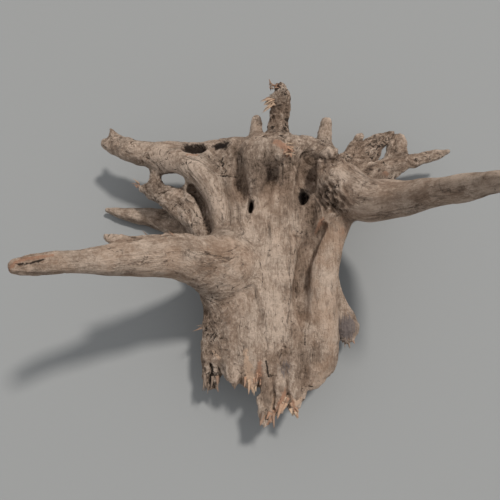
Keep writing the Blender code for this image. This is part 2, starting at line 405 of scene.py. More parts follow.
@dataclass
class Skin:
    """The wood's surface while it is being worked: its points, faces and what is known at each point."""

    points: Array
    faces: Array
    fibre: Array = field(default_factory=lambda: np.zeros((0, 3)))
    looks: dict[str, Array] = field(default_factory=dict)

    def edges(self) -> Array:
        """Every side of every face, as pairs of point numbers."""
        return np.vstack([self.faces[:, [k, (k + 1) % 4]] for k in range(4)])

    def spread(self, values: Array, times: int, share: float) -> Array:
        """Even values out: each time every point takes a share of the mean of its neighbours."""
        pairs = self.edges()
        count = np.bincount(pairs.ravel(), minlength=len(values))
        flat = values.reshape(len(values), -1).astype(float)
        for _ in range(times):
            mean = np.stack(
                [
                    np.bincount(pairs[:, 0], flat[pairs[:, 1], c], len(flat))
                    + np.bincount(pairs[:, 1], flat[pairs[:, 0], c], len(flat))
                    for c in range(flat.shape[1])
                ],
                axis=1,
            )
            flat = flat + share * (mean / count[:, None] - flat)
        return flat.reshape(values.shape)

    def normals(self) -> Array:
        """The outward direction at each point: the sum of its faces' directions, made one long."""
        p = self.points[self.faces]
        across = np.cross(p[:, 2] - p[:, 0], p[:, 3] - p[:, 1])
        size = len(self.points)
        total = [sum(np.bincount(self.faces[:, k], across[:, c], size) for k in range(4)) for c in range(3)]
        return unit(np.stack(total, axis=1))

    def follow(self, courses: list[Course]) -> None:
        """Give each point its place in the fibres and the look of the limbs it belongs to.

        Every limb speaks for a point with the weight e^(-distance / blend). The fibre place is the
        weighted mean of the limb's own: the direction round the limb times its girth, and the length gone,
        counted from the limb's root; a limb of level grain gives the place along and across the stem.

        Args:
            courses: the limbs that made the skin.
        """
        total = np.full(len(self.points), 1e-12)
        fibre = np.zeros((len(self.points), 3))
        sums = {key: np.zeros(len(self.points)) for key in ("warm", "pale", "rope")}
        for course in courses:
            boxes = [course.reach(j, GRAIN_REACH) for j in range(len(course.length))]
            low, high = np.min([b[0] for b in boxes], 0), np.max([b[1] for b in boxes], 0)
            near = np.flatnonzero(np.all((self.points > low) & (self.points < high), axis=1))
            x, y, z = self.points[near].T
            best = np.full(len(near), FAR)
            place = np.zeros((len(near), 3))
            for j in range(len(course.length)):
                far, a, b, gone = course.measure(j, x, y, z)
                won = far < best
                best = np.where(won, far, best)
                size = 0.5 * (course.half[j] + course.half.mean()) / np.maximum(np.hypot(a, b), 1e-6)
                place = np.where(won[:, None], np.stack([a * size, b * size, gone], axis=1), place)
            root = course.start[0]
            place = place + (root @ course.side[0], root @ course.up[0], root @ course.way[0])
            if course.limb.level_grain:
                place = np.stack([-x, 0.5 * z, -y], axis=1)
            weight = course.limb.voice * np.exp(-np.clip(best, -0.004, None) / GRAIN_BLEND)
            total[near] += weight
            fibre[near] += weight[:, None] * place
            for key in sums:
                sums[key][near] += weight * getattr(course.limb, key)
        self.fibre = fibre / total[:, None]
        self.looks = {key: values / total for key, values in sums.items()}
        for look in Look:
            self.looks.setdefault(look.value, np.zeros(len(self.points)))

    def mark(self, marks: list["Mark"]) -> None:
        """Lay each mark on the skin as a bell curve round its place, stretched along its direction."""
        for m in marks:
            off = self.points - m.place
            axis = unit(np.array(m.along, float))
            run = off @ axis
            cross = np.linalg.norm(off - run[:, None] * axis, axis=1)
            bell = np.exp(-((run / m.long) ** 2) - (cross / m.wide) ** 2)
            values = self.looks[m.look.value]
            self.looks[m.look.value] = values + m.amount * bell

    def lift(self, height: Array) -> None:
        """Move each point outwards by a height, less and less near the ground, so that the feet stay flat."""
        calm = np.clip(self.points[:, 2] / GROUND_FADE, 0.0, 1.0)
        self.points = self.points + self.normals() * (height * calm)[:, None]

    def relief(self, sizes: "Relief") -> None:
        """Raise the grain.

        Broad lumps and smaller dents shape every limb. Ropes of fibre are crests of noise stretched eight
        times along the limb; strings are thinner and a third as long; cracks are where a third noise is
        close to nought, in patches; ragged places add short teeth and round knurls.

        Args:
            sizes: how large and how high each of them is.
        """
        rope = self.looks["rope"]
        ragged = np.clip(self.looks["ragged"], 0.0, 1.5)
        lumps = Noise(3).at(self.points / sizes.lump) * sizes.lump_height
        dents = Noise(4).at(self.points / sizes.dent) * sizes.dent_height * (0.2 + rope)
        self.lift(lumps + dents + self.looks["swell"])
        bend = Noise(5).at(self.points / sizes.bend)[:, None] * (sizes.bend_width, sizes.bend_width, 0.0)
        flow = self.fibre + bend
        ropes = Noise(6).ridged(flow / sizes.rope) - sizes.crest_middle
        strings = Noise(7).ridged(flow / sizes.string) - sizes.crest_middle
        gap = np.abs(Noise(8).at(flow / sizes.crack))
        where = np.clip(Noise(9).at(self.points / sizes.crack_patch) * 2.6 - 0.25, 0.0, 1.0)
        open_share = np.clip(0.35 + 0.65 * rope, 0.0, 1.0)
        crack = np.clip(1.0 - gap / sizes.crack_width, 0.0, 1.0) * where * open_share
        teeth = Noise(10).ridged(flow / sizes.tooth) - 0.5
        grit = Noise(12).at(self.points / sizes.grit)
        knurl = Noise(11).ridged(self.points / sizes.knurl) - 0.5 + 0.5 * grit
        grain = rope * (sizes.rope_height * ropes + sizes.string_height * strings) - sizes.crack_depth * crack
        self.lift(grain + ragged * (sizes.tooth_height * teeth + sizes.knurl_height * knurl))
        self.looks["crack"] = crack

    def hollows(self) -> None:
        """Note how sunk each point is: how far the evened-out skin stands above it, over four millimetres."""
        # the material paints by this depth: painted shade in hollows, painted highlight on crests
        smooth = self.spread(self.points, times=12, share=0.6)
        depth = np.einsum("ij,ij->i", smooth - self.points, self.normals())
        self.looks["sunk"] = np.clip(depth / 0.004, -1.0, 1.0)

    def settle(self) -> None:
        """Keep everything on or above the ground."""
        self.points[:, 2] = np.maximum(self.points[:, 2], 0.0)

    def mesh(self, name: str) -> bpy.types.Object:
        """Put the skin into a mesh with its fibre places and looks as attributes."""
        data = bpy.data.meshes.new(name)
        data.vertices.add(len(self.points))
        data.vertices.foreach_set("co", self.points.astype(np.float32).ravel())
        data.loops.add(self.faces.size)
        data.loops.foreach_set("vertex_index", self.faces.astype(np.int32).ravel())
        data.polygons.add(len(self.faces))
        data.polygons.foreach_set("loop_start", np.arange(0, self.faces.size, 4, dtype=np.int32))
        data.update(calc_edges=True)
        data.validate()
        data.polygons.foreach_set("use_smooth", np.ones(len(data.polygons), bool))
        place = data.attributes.new("fibre", "FLOAT_VECTOR", "POINT")
        place.data.foreach_set("vector", self.fibre.astype(np.float32).ravel())
        for key, values in self.looks.items():
            layer = data.attributes.new(key, "FLOAT", "POINT")
            layer.data.foreach_set("value", values.astype(np.float32))
        obj = bpy.data.objects.new(name, data)
        bpy.context.scene.collection.objects.link(obj)
        return obj


@dataclass(frozen=True)
class Relief:
    """How large and how high everything raised on the skin is.

    A single size holds in every direction; three sizes are two across the fibres and one along them.
    """

    lump: float = 0.055
    lump_height: float = 0.0032
    dent: float = 0.022
    dent_height: float = 0.0016
    bend: float = 0.05
    bend_width: float = 0.008
    rope: tuple[float, float, float] = (0.021, 0.021, 0.17)
    rope_height: float = 0.0017
    string: tuple[float, float, float] = (0.010, 0.010, 0.060)
    string_height: float = 0.0014
    crest_middle: float = 0.55
    crack: tuple[float, float, float] = (0.020, 0.020, 0.09)
    crack_patch: float = 0.035
    crack_width: float = 0.075
    crack_depth: float = 0.0030
    tooth: tuple[float, float, float] = (0.010, 0.010, 0.035)
    tooth_height: float = 0.0054
    knurl: float = 0.016
    knurl_height: float = 0.0046
    grit: float = 0.009


@dataclass(frozen=True)
class Mark:
    """A patch of the skin with its own look: where it is, how long and wide, and how strong."""

    look: Look
    place: tuple[float, float, float]
    wide: float
    amount: float
    long: float = 0.0
    along: tuple[float, float, float] = (0.0, 1.0, 0.0)

    def __post_init__(self) -> None:
        """A mark with no length of its own is round."""
        if self.long == 0.0:
            object.__setattr__(self, "long", self.wide)


@dataclass(frozen=True)
class Cut:
    """A room taken out of the wood."""

    path: Path
    kind: Carve = Carve.HOLE
    flat: float = 1.0
    roll: float = 0.0

    def course(self) -> Course:
        """The cut's sampled centre line."""
        return Course.along(Limb(self.path, self.flat, self.roll))


@dataclass
class Stem:
    """The broad stem plate with its broken lip, seen from above."""

    face: Limb = Limb(
        ((-0.025, 0.141, 0.108, 0.095), (-0.031, 0.021, 0.106, 0.090), (-0.031, -0.069, 0.098, 0.082),
         (-0.031, -0.139, 0.088, 0.076), (-0.035, -0.181, 0.084, 0.062), (-0.033, -0.206, 0.084, 0.036)),
        flat=0.6, rope=0.35, pale=0.8, warm=0.6, level_grain=True,
    )
    left_edge: Limb = Limb(
        ((-0.125, -0.039, 0.155, 0.034), (-0.105, -0.063, 0.120, 0.032), (-0.097, -0.109, 0.086, 0.032),
         (-0.100, -0.164, 0.070, 0.032), (-0.111, -0.209, 0.060, 0.020), (-0.115, -0.241, 0.055, 0.011)),
        rope=1.6, pale=0.2, level_grain=True,
    )
    valley: Limb = Limb(
        ((0.035, 0.121, 0.105, 0.062), (0.033, -0.009, 0.092, 0.052), (0.033, -0.109, 0.086, 0.050),
         (0.029, -0.179, 0.082, 0.044), (0.021, -0.216, 0.083, 0.028)),
        flat=0.8, rope=0.7, pale=0.4, level_grain=True,
    )
    flank: Limb = Limb(
        ((0.111, 0.091, 0.122, 0.042), (0.099, 0.028, 0.127, 0.031), (0.087, -0.039, 0.124, 0.027),
         (0.081, -0.099, 0.113, 0.029), (0.076, -0.149, 0.096, 0.036), (0.069, -0.192, 0.084, 0.034),
         (0.058, -0.230, 0.079, 0.019)),
        rope=0.25, warm=1.1, pale=0.9, melt=0.005, level_grain=True,
    )
    flange: Limb = Limb(
        ((0.090, 0.010, 0.088, 0.024), (0.097, -0.029, 0.082, 0.022), (0.104, -0.060, 0.076, 0.021),
         (0.114, -0.094, 0.070, 0.021), (0.126, -0.121, 0.066, 0.024), (0.132, -0.146, 0.064, 0.018)),
        flat=0.5, rope=0.5, pale=0.6, melt=0.008, level_grain=True,
    )
    lobe_b: Limb = Limb(
        ((-0.069, -0.184, 0.096, 0.026), (-0.071, -0.232, 0.100, 0.012)),
        flat=0.6, melt=0.006, level_grain=True,
    )
    lobe_c: Limb = Limb(
        ((-0.041, -0.184, 0.096, 0.026), (-0.043, -0.228, 0.096, 0.012)),
        flat=0.6, melt=0.006, level_grain=True,
    )
    lobe_d: Limb = Limb(
        ((-0.006, -0.189, 0.090, 0.040), (-0.004, -0.250, 0.090, 0.025), (-0.010, -0.280, 0.089, 0.015)),
        flat=0.6, melt=0.006, level_grain=True,
    )
    lobe_e: Limb = Limb(
        ((0.021, -0.199, 0.086, 0.034), (0.026, -0.250, 0.084, 0.020), (0.028, -0.272, 0.084, 0.010)),
        flat=0.8, melt=0.006, level_grain=True,
    )
    lobe_f: Limb = Limb(
        ((0.069, -0.154, 0.085, 0.040), (0.083, -0.190, 0.077, 0.027), (0.085, -0.213, 0.075, 0.014)),
        flat=0.8, melt=0.006, level_grain=True,
    )
    shard_tips: tuple[tuple[float, float, float, float], ...] = (
        (-0.122, -0.244, 0.060, 0.009), (-0.107, -0.246, 0.062, 0.009), (-0.082, -0.232, 0.080, 0.011),
        (-0.071, -0.247, 0.092, 0.010), (-0.052, -0.236, 0.098, 0.008), (-0.042, -0.250, 0.096, 0.009),
        (-0.020, -0.308, 0.086, 0.009), (-0.010, -0.300, 0.090, 0.009), (-0.004, -0.290, 0.092, 0.006),
        (0.009, -0.286, 0.086, 0.006), (0.018, -0.268, 0.092, 0.005), (0.028, -0.293, 0.086, 0.007),
        (0.038, -0.276, 0.084, 0.008), (0.046, -0.262, 0.086, 0.009), (0.060, -0.238, 0.078, 0.008),
        (0.084, -0.228, 0.076, 0.008), (0.104, -0.206, 0.078, 0.008), (0.117, -0.155, 0.064, 0.006),
        (0.131, -0.165, 0.060, 0.007), (0.146, -0.150, 0.060, 0.006),
    )
    lip_line: tuple[tuple[float, float, float], ...] = (
        (-0.124, -0.222, 0.060), (-0.095, -0.206, 0.070), (-0.060, -0.212, 0.090), (-0.034, -0.214, 0.092),
        (-0.024, -0.270, 0.088), (0.010, -0.255, 0.088), (0.030, -0.255, 0.084), (0.054, -0.232, 0.080),
        (0.102, -0.198, 0.078), (0.112, -0.148, 0.064), (0.142, -0.140, 0.060),
    )

    def shards(self) -> list[Limb]:
        """Torn strips of wood along the lip.

        The named tips come first; smaller strips then follow the lip line at even steps, each moved by a
        seeded draw along, up or down.

        Returns:
            The strips as small limbs.
        """
        rng = np.random.default_rng(11)
        line = np.array(self.lip_line)
        across = np.linspace(line[0, 0], line[-1, 0], 46)
        more = np.stack(
            [
                across,
                np.interp(across, line[:, 0], line[:, 1]) - rng.uniform(-0.008, 0.006, 46),
                np.interp(across, line[:, 0], line[:, 2]) + rng.uniform(-0.022, 0.016, 46),
                rng.uniform(0.004, 0.007, 46),
            ],
            axis=1,
        )
        made = []
        for x, y, z, half in np.vstack([np.array(self.shard_tips), more]):
            lean = rng.uniform(-0.006, 0.006)
            run = rng.uniform(0.045, 0.065) * (0.45 if x > 0.110 else 1.0)
            path = ((x + lean, y + run, z + 0.006, half * 1.2),
                    (x + 0.3 * lean, y + 0.4 * run, z, half * 1.1),
                    (x, y, z, half * 0.45))
            made.append(Limb(path, 0.6, melt=0.003, rope=0.6, pale=rng.uniform(0.1, 0.6), level_grain=True))
        return made

    def limbs(self) -> list[Limb]:
        """The stem's limbs and the strips of its lip."""
        return [self.face, self.valley, self.left_edge, self.flank, self.flange,
                self.lobe_b, self.lobe_c, self.lobe_d, self.lobe_e, self.lobe_f, *self.shards()]


@dataclass
class Crown:
    """The knotted far end of the stem: rim, knob, folds, pegs and the tall broken root."""

    shoulder: Limb = Limb(
        ((-0.046, 0.172, 0.150, 0.024), (-0.036, 0.168, 0.178, 0.022), (-0.010, 0.164, 0.192, 0.015)),
        melt=0.006, pale=0.3, rope=1.1, level_grain=True,
    )
    rim: Limb = Limb(
        ((-0.075, 0.186, 0.120, 0.038), (-0.015, 0.186, 0.126, 0.042), (0.045, 0.183, 0.128, 0.042),
         (0.100, 0.177, 0.122, 0.034)),
        level_grain=True, voice=0.5, pale=0.35, rope=1.3,
    )
    rim_left: Limb = Limb(
        ((-0.185, 0.187, 0.106, 0.026), (-0.133, 0.185, 0.112, 0.036), (-0.075, 0.186, 0.120, 0.038)),
        voice=0.02, pale=0.3,
    )
    mass: Limb = Limb(
        ((-0.045, 0.136, 0.100, 0.070), (0.025, 0.136, 0.102, 0.074), (0.095, 0.121, 0.104, 0.060)),
        flat=0.85, level_grain=True, pale=0.1, rope=1.2,
    )
    mass_left: Limb = Limb(
        ((-0.130, 0.126, 0.100, 0.052), (-0.045, 0.136, 0.100, 0.070)), flat=0.85, voice=0.02, pale=0.3,
    )
    knob: Limb = Limb(
        ((-0.044, 0.080, 0.150, 0.009), (-0.039, 0.114, 0.168, 0.022), (-0.030, 0.145, 0.184, 0.030),
         (-0.006, 0.150, 0.203, 0.025), (0.013, 0.147, 0.212, 0.016)),
        pale=0.45, rope=0.7, melt=0.003, level_grain=True,
    )
    left_fold: Limb = Limb(
        ((-0.215, 0.196, 0.108, 0.024), (-0.160, 0.166, 0.126, 0.028), (-0.118, 0.122, 0.140, 0.026),
         (-0.098, 0.074, 0.142, 0.023), (-0.088, 0.015, 0.132, 0.024)),
        pale=0.9, rope=0.5, melt=0.008,
    )
    right_block: Limb = Limb(
        ((0.088, 0.133, 0.140, 0.030), (0.097, 0.148, 0.172, 0.020), (0.100, 0.154, 0.196, 0.011)),
        pale=0.25, level_grain=True, melt=0.006, rope=1.8,
    )
    tall_stub: Limb = Limb(
        ((0.004, 0.181, 0.110, 0.030), (0.009, 0.226, 0.132, 0.022), (0.013, 0.267, 0.160, 0.020),
         (0.016, 0.288, 0.178, 0.0165), (0.010, 0.299, 0.187, 0.009)),
        rope=1.6, pale=0.2,
    )
    tall_splinter: Limb = Limb(
        ((0.011, 0.287, 0.182, 0.012), (-0.007, 0.276, 0.180, 0.006), (-0.020, 0.265, 0.176, 0.004)),
        melt=0.004,
    )
    peg_left: Limb = Limb(
        ((-0.033, 0.201, 0.120, 0.017), (-0.033, 0.235, 0.138, 0.0125), (-0.033, 0.256, 0.151, 0.011)),
        pale=0.9, rope=0.5, melt=0.008,
    )
    peg_right: Limb = Limb(
        ((0.098, 0.191, 0.115, 0.022), (0.097, 0.222, 0.132, 0.0155), (0.103, 0.256, 0.144, 0.010)),
        pale=0.9, rope=0.9, melt=0.006,
    )

    def limbs(self) -> list[Limb]:
        """The crown's limbs, its mass first."""
        return [self.mass, self.mass_left, self.rim, self.rim_left, self.left_fold, self.right_block,
                self.knob, self.shoulder, self.tall_stub, self.tall_splinter, self.peg_left, self.peg_right]


@dataclass
class Arms:
    """The two long side roots that rise clear of the ground."""

    left: Limb = Limb(
        ((-0.030, -0.010, 0.085, 0.050), (-0.075, -0.028, 0.118, 0.050), (-0.105, -0.038, 0.147, 0.048),
         (-0.140, -0.044, 0.184, 0.041), (-0.163, -0.045, 0.206, 0.037), (-0.202, -0.055, 0.230, 0.031),
         (-0.240, -0.066, 0.252, 0.026), (-0.300, -0.0815, 0.287, 0.0185), (-0.344, -0.094, 0.313, 0.0175),
         (-0.366, -0.105, 0.333, 0.012)),
        warm=0.9, pale=0.8, rope=0.45, melt=0.030,
    )
    left_web: Limb = Limb(
        ((-0.144, -0.040, 0.186, 0.022), (-0.108, -0.052, 0.152, 0.022), (-0.090, -0.090, 0.113, 0.021),
         (-0.089, -0.140, 0.082, 0.019)),
        melt=0.022, warm=0.6, rope=1.2,
    )
    left_splinter: Limb = Limb(
        ((-0.145, -0.020, 0.196, 0.022), (-0.203, -0.033, 0.229, 0.015), (-0.238, -0.036, 0.251, 0.011),
         (-0.268, -0.033, 0.263, 0.0075)),
        flat=0.7, warm=0.8, pale=0.7, melt=0.003, rope=1.2,
    )
    right: Limb = Limb(
        ((0.065, 0.156, 0.100, 0.050), (0.109, 0.125, 0.140, 0.044), (0.137, 0.093, 0.156, 0.044),
         (0.159, 0.075, 0.168, 0.041), (0.183, 0.066, 0.186, 0.036), (0.211, 0.056, 0.214, 0.0305),
         (0.239, 0.043, 0.255, 0.026), (0.259, 0.027, 0.300, 0.0225), (0.279, 0.010, 0.350, 0.0195),
         (0.296, -0.006, 0.395, 0.0155), (0.308, -0.017, 0.428, 0.010)),
        warm=0.55, pale=0.65, rope=0.35, melt=0.016, spines=((80.0, 0.16, 26.0),),
    )
    right_web: Limb = Limb(
        ((0.128, 0.085, 0.140, 0.028), (0.110, 0.050, 0.120, 0.024), (0.098, 0.012, 0.105, 0.020)),
        melt=0.012, rope=0.8,
    )

    def limbs(self) -> list[Limb]:
        """The arms, the webs under them and the splinter beside the left one."""
        return [self.left, self.left_web, self.left_splinter, self.right, self.right_web]


@dataclass
class LowRoots:
    """The roots and broken spikes that spread low round the crown."""

    back_left: Limb = Limb(
        ((-0.095, 0.151, 0.108, 0.050), (-0.145, 0.179, 0.106, 0.043), (-0.193, 0.189, 0.104, 0.036),
         (-0.229, 0.199, 0.104, 0.029), (-0.262, 0.208, 0.102, 0.0255), (-0.302, 0.224, 0.098, 0.021),
         (-0.339, 0.237, 0.092, 0.012)),
        pale=0.6, rope=0.8,
    )
    back_left_fork: Limb = Limb(
        ((-0.292, 0.224, 0.100, 0.019), (-0.315, 0.244, 0.100, 0.013), (-0.326, 0.266, 0.100, 0.006)),
        melt=0.006,
    )
    bridge: Limb = Limb(
        ((-0.223, 0.183, 0.100, 0.017), (-0.230, 0.159, 0.094, 0.012), (-0.231, 0.136, 0.086, 0.013)),
        rope=1.5,
    )
    middle_left: Limb = Limb(
        ((-0.111, 0.021, 0.098, 0.040), (-0.137, 0.063, 0.096, 0.034), (-0.171, 0.098, 0.090, 0.030),
         (-0.209, 0.122, 0.085, 0.022), (-0.238, 0.135, 0.080, 0.016), (-0.262, 0.145, 0.075, 0.008)),
        flat=0.75, rope=1.5, pale=0.6,
    )
    front_left: Limb = Limb(
        ((-0.095, 0.031, 0.080, 0.048), (-0.145, 0.061, 0.050, 0.036), (-0.190, 0.087, 0.030, 0.029),
         (-0.237, 0.103, 0.019, 0.022), (-0.279, 0.110, 0.015, 0.018), (-0.312, 0.117, 0.015, 0.013),
         (-0.345, 0.125, 0.016, 0.007)),
        rope=0.7,
    )
    spike_a: Limb = Limb(
        ((0.109, 0.164, 0.092, 0.030), (0.146, 0.200, 0.083, 0.022), (0.168, 0.234, 0.076, 0.015),
         (0.186, 0.276, 0.069, 0.003)),
        flat=0.6, pale=0.0, rope=1.7, melt=0.004, spines=((90.0, 0.25, 22.0), (0.0, 0.12, 20.0)),
    )
    spike_b: Limb = Limb(
        ((0.120, 0.161, 0.088, 0.034), (0.163, 0.197, 0.086, 0.026), (0.202, 0.231, 0.083, 0.021),
         (0.231, 0.257, 0.080, 0.014), (0.253, 0.276, 0.076, 0.005)),
        flat=0.5, pale=0.0, rope=1.7, melt=0.004, spines=((70.0, 0.25, 22.0), (180.0, 0.12, 20.0)),
    )
    spike_c: Limb = Limb(
        ((0.195, 0.160, 0.064, 0.030), (0.247, 0.206, 0.062, 0.024), (0.258, 0.240, 0.064, 0.022),
         (0.261, 0.262, 0.066, 0.019)),
        flat=0.5, pale=0.8, rope=1.4, melt=0.005,
    )
    spike_d: Limb = Limb(
        ((0.115, 0.141, 0.080, 0.044), (0.194, 0.171, 0.066, 0.024), (0.259, 0.203, 0.062, 0.0175),
         (0.300, 0.215, 0.062, 0.0155), (0.335, 0.225, 0.062, 0.012), (0.368, 0.236, 0.062, 0.005)),
        flat=0.7, pale=0.2, rope=1.3, melt=0.006, spines=((100.0, 0.22, 24.0),),
    )
    shelf: Limb = Limb(
        ((0.150, 0.190, 0.078, 0.026), (0.187, 0.210, 0.076, 0.022), (0.216, 0.230, 0.076, 0.012)),
        flat=0.5, pale=0.0, rope=1.7, melt=0.003,
    )
    dead_twig: Limb = Limb(
        ((0.166, 0.176, 0.092, 0.011), (0.190, 0.184, 0.096, 0.008), (0.208, 0.188, 0.096, 0.005)),
        melt=0.003,
    )
    red_bud: Limb = Limb(((0.212, 0.158, 0.072, 0.012), (0.224, 0.170, 0.092, 0.008)), melt=0.003)

    def limbs(self) -> list[Limb]:
        """The low roots, left to right."""
        return [self.back_left, self.back_left_fork, self.bridge, self.middle_left, self.front_left,
                self.spike_a, self.spike_b, self.shelf, self.spike_c, self.spike_d,
                self.dead_twig, self.red_bud]


@dataclass
class Feet:
    """The stumps under the root that it rests on."""

    heel: Limb = Limb(
        ((-0.010, -0.069, 0.080, 0.050), (-0.011, -0.144, 0.048, 0.042), (-0.013, -0.181, 0.008, 0.032)),
    )
    back: Limb = Limb(
        ((-0.035, 0.136, 0.080, 0.055), (-0.045, 0.186, 0.036, 0.040), (-0.051, 0.209, 0.004, 0.028)),
    )
    right: Limb = Limb(
        ((0.125, 0.136, 0.070, 0.036), (0.181, 0.147, 0.036, 0.030), (0.203, 0.151, 0.004, 0.024)),
    )

    def limbs(self) -> list[Limb]:
        """The three feet."""
        return [self.heel, self.back, self.right]


@dataclass
class Wounds:
    """Holes, splits and worn places."""

    def cuts(self) -> list[Cut]:
        """Everything taken out of the wood."""
        return [
            # the round hole and the slit beside the knob
            Cut(((0.050, 0.062, 0.200, 0.0066), (0.052, 0.086, 0.150, 0.0066), (0.055, 0.100, 0.110, 0.005)),
                flat=1.9),
            Cut(((-0.044, 0.046, 0.210, 0.003), (-0.043, 0.062, 0.165, 0.003), (-0.041, 0.076, 0.125, 0.003)),
                flat=3.2),
            # hollows in the rim
            Cut(((-0.170, 0.195, 0.152, 0.009), (-0.150, 0.190, 0.148, 0.0125),
                 (-0.130, 0.190, 0.146, 0.009)), flat=1.6),
            Cut(((-0.112, 0.190, 0.160, 0.006), (-0.088, 0.192, 0.162, 0.006)), flat=1.8),
            # the window under the left root
            Cut(((-0.216, 0.153, 0.100, 0.007), (-0.193, 0.152, 0.100, 0.0105),
                 (-0.169, 0.147, 0.100, 0.008)), flat=8.0, roll=-27.0),
            # the dip beside the block
            Cut(((0.062, 0.186, 0.176, 0.012), (0.064, 0.150, 0.160, 0.019), (0.058, 0.118, 0.152, 0.019),
                 (0.048, 0.080, 0.158, 0.012), (0.042, 0.040, 0.160, 0.008)), Carve.HOLLOW),
            # the hollow between the left fold and the knob
            Cut(((-0.080, 0.160, 0.178, 0.014), (-0.070, 0.110, 0.170, 0.020), (-0.062, 0.040, 0.170, 0.014)),
                Carve.GROOVE),
            # the long groove between the stem's face and its flank
            Cut(((0.088, 0.036, 0.150, 0.004), (0.078, 0.022, 0.141, 0.010), (0.062, 0.000, 0.132, 0.015),
                 (0.049, -0.034, 0.126, 0.015), (0.043, -0.074, 0.122, 0.014), (0.043, -0.113, 0.120, 0.010),
                 (0.046, -0.140, 0.124, 0.004)), Carve.HOLLOW),
            # the recess left of the knob and the ledge over it
            Cut(((-0.070, 0.166, 0.184, 0.008), (-0.070, 0.120, 0.172, 0.010), (-0.064, 0.080, 0.162, 0.006)),
                Carve.HOLE),
            Cut(((-0.104, 0.138, 0.162, 0.004), (-0.086, 0.128, 0.160, 0.006), (-0.068, 0.132, 0.162, 0.005)),
                Carve.HOLE),
            # the sag in the stem where its sheet of wood has broken away
            Cut(((0.062, -0.150, 0.138, 0.008), (0.064, -0.175, 0.128, 0.014), (0.062, -0.205, 0.116, 0.010)),
                Carve.HOLE, flat=0.6),
            # the gaps between the lip's plates
            Cut(((-0.092, -0.226, 0.080, 0.003), (-0.092, -0.250, 0.076, 0.006)), flat=5.0),
            Cut(((-0.060, -0.226, 0.095, 0.002), (-0.059, -0.250, 0.095, 0.006)), flat=5.0),
            Cut(((-0.028, -0.222, 0.095, 0.002), (-0.031, -0.250, 0.095, 0.005)), flat=5.0),
            # short splits in the stem's face and beside its flange
            Cut(((0.031, -0.072, 0.132, 0.0025), (0.031, -0.098, 0.130, 0.0035),
                 (0.035, -0.122, 0.126, 0.002)), flat=3.0),
            Cut(((0.107, -0.030, 0.116, 0.002), (0.112, -0.052, 0.110, 0.003), (0.115, -0.075, 0.102, 0.002)),
                flat=3.0),
            # the hollow flute between the flank and the flange
            Cut(((0.116, 0.010, 0.120, 0.005), (0.112, -0.040, 0.108, 0.008), (0.112, -0.090, 0.096, 0.008),
                 (0.112, -0.140, 0.090, 0.005)), Carve.HOLLOW),
            # the crevice under the left fold
            Cut(((-0.116, 0.020, 0.136, 0.004), (-0.127, 0.058, 0.130, 0.008), (-0.140, 0.096, 0.124, 0.008),
                 (-0.158, 0.122, 0.118, 0.007)), Carve.HOLE, flat=1.8),
            # rotted strips in the lip's left corner
            Cut(((-0.113, -0.195, 0.080, 0.002), (-0.112, -0.222, 0.070, 0.003),
                 (-0.112, -0.250, 0.062, 0.003)), flat=4.0),
            Cut(((-0.098, -0.205, 0.082, 0.002), (-0.096, -0.228, 0.074, 0.003),
                 (-0.095, -0.245, 0.066, 0.003)), flat=4.0),
            # splits between the lip's plates
            Cut(((-0.004, -0.200, 0.118, 0.002), (-0.006, -0.235, 0.112, 0.004),
                 (-0.003, -0.262, 0.104, 0.004), (-0.008, -0.292, 0.100, 0.003)), flat=3.0),
            Cut(((0.014, -0.205, 0.116, 0.003), (0.017, -0.240, 0.108, 0.004), (0.020, -0.262, 0.100, 0.004),
                 (0.018, -0.284, 0.096, 0.004)), flat=3.0),
            Cut(((-0.058, -0.205, 0.118, 0.001), (-0.060, -0.226, 0.112, 0.003),
                 (-0.061, -0.245, 0.104, 0.004)), flat=4.0),
        ]

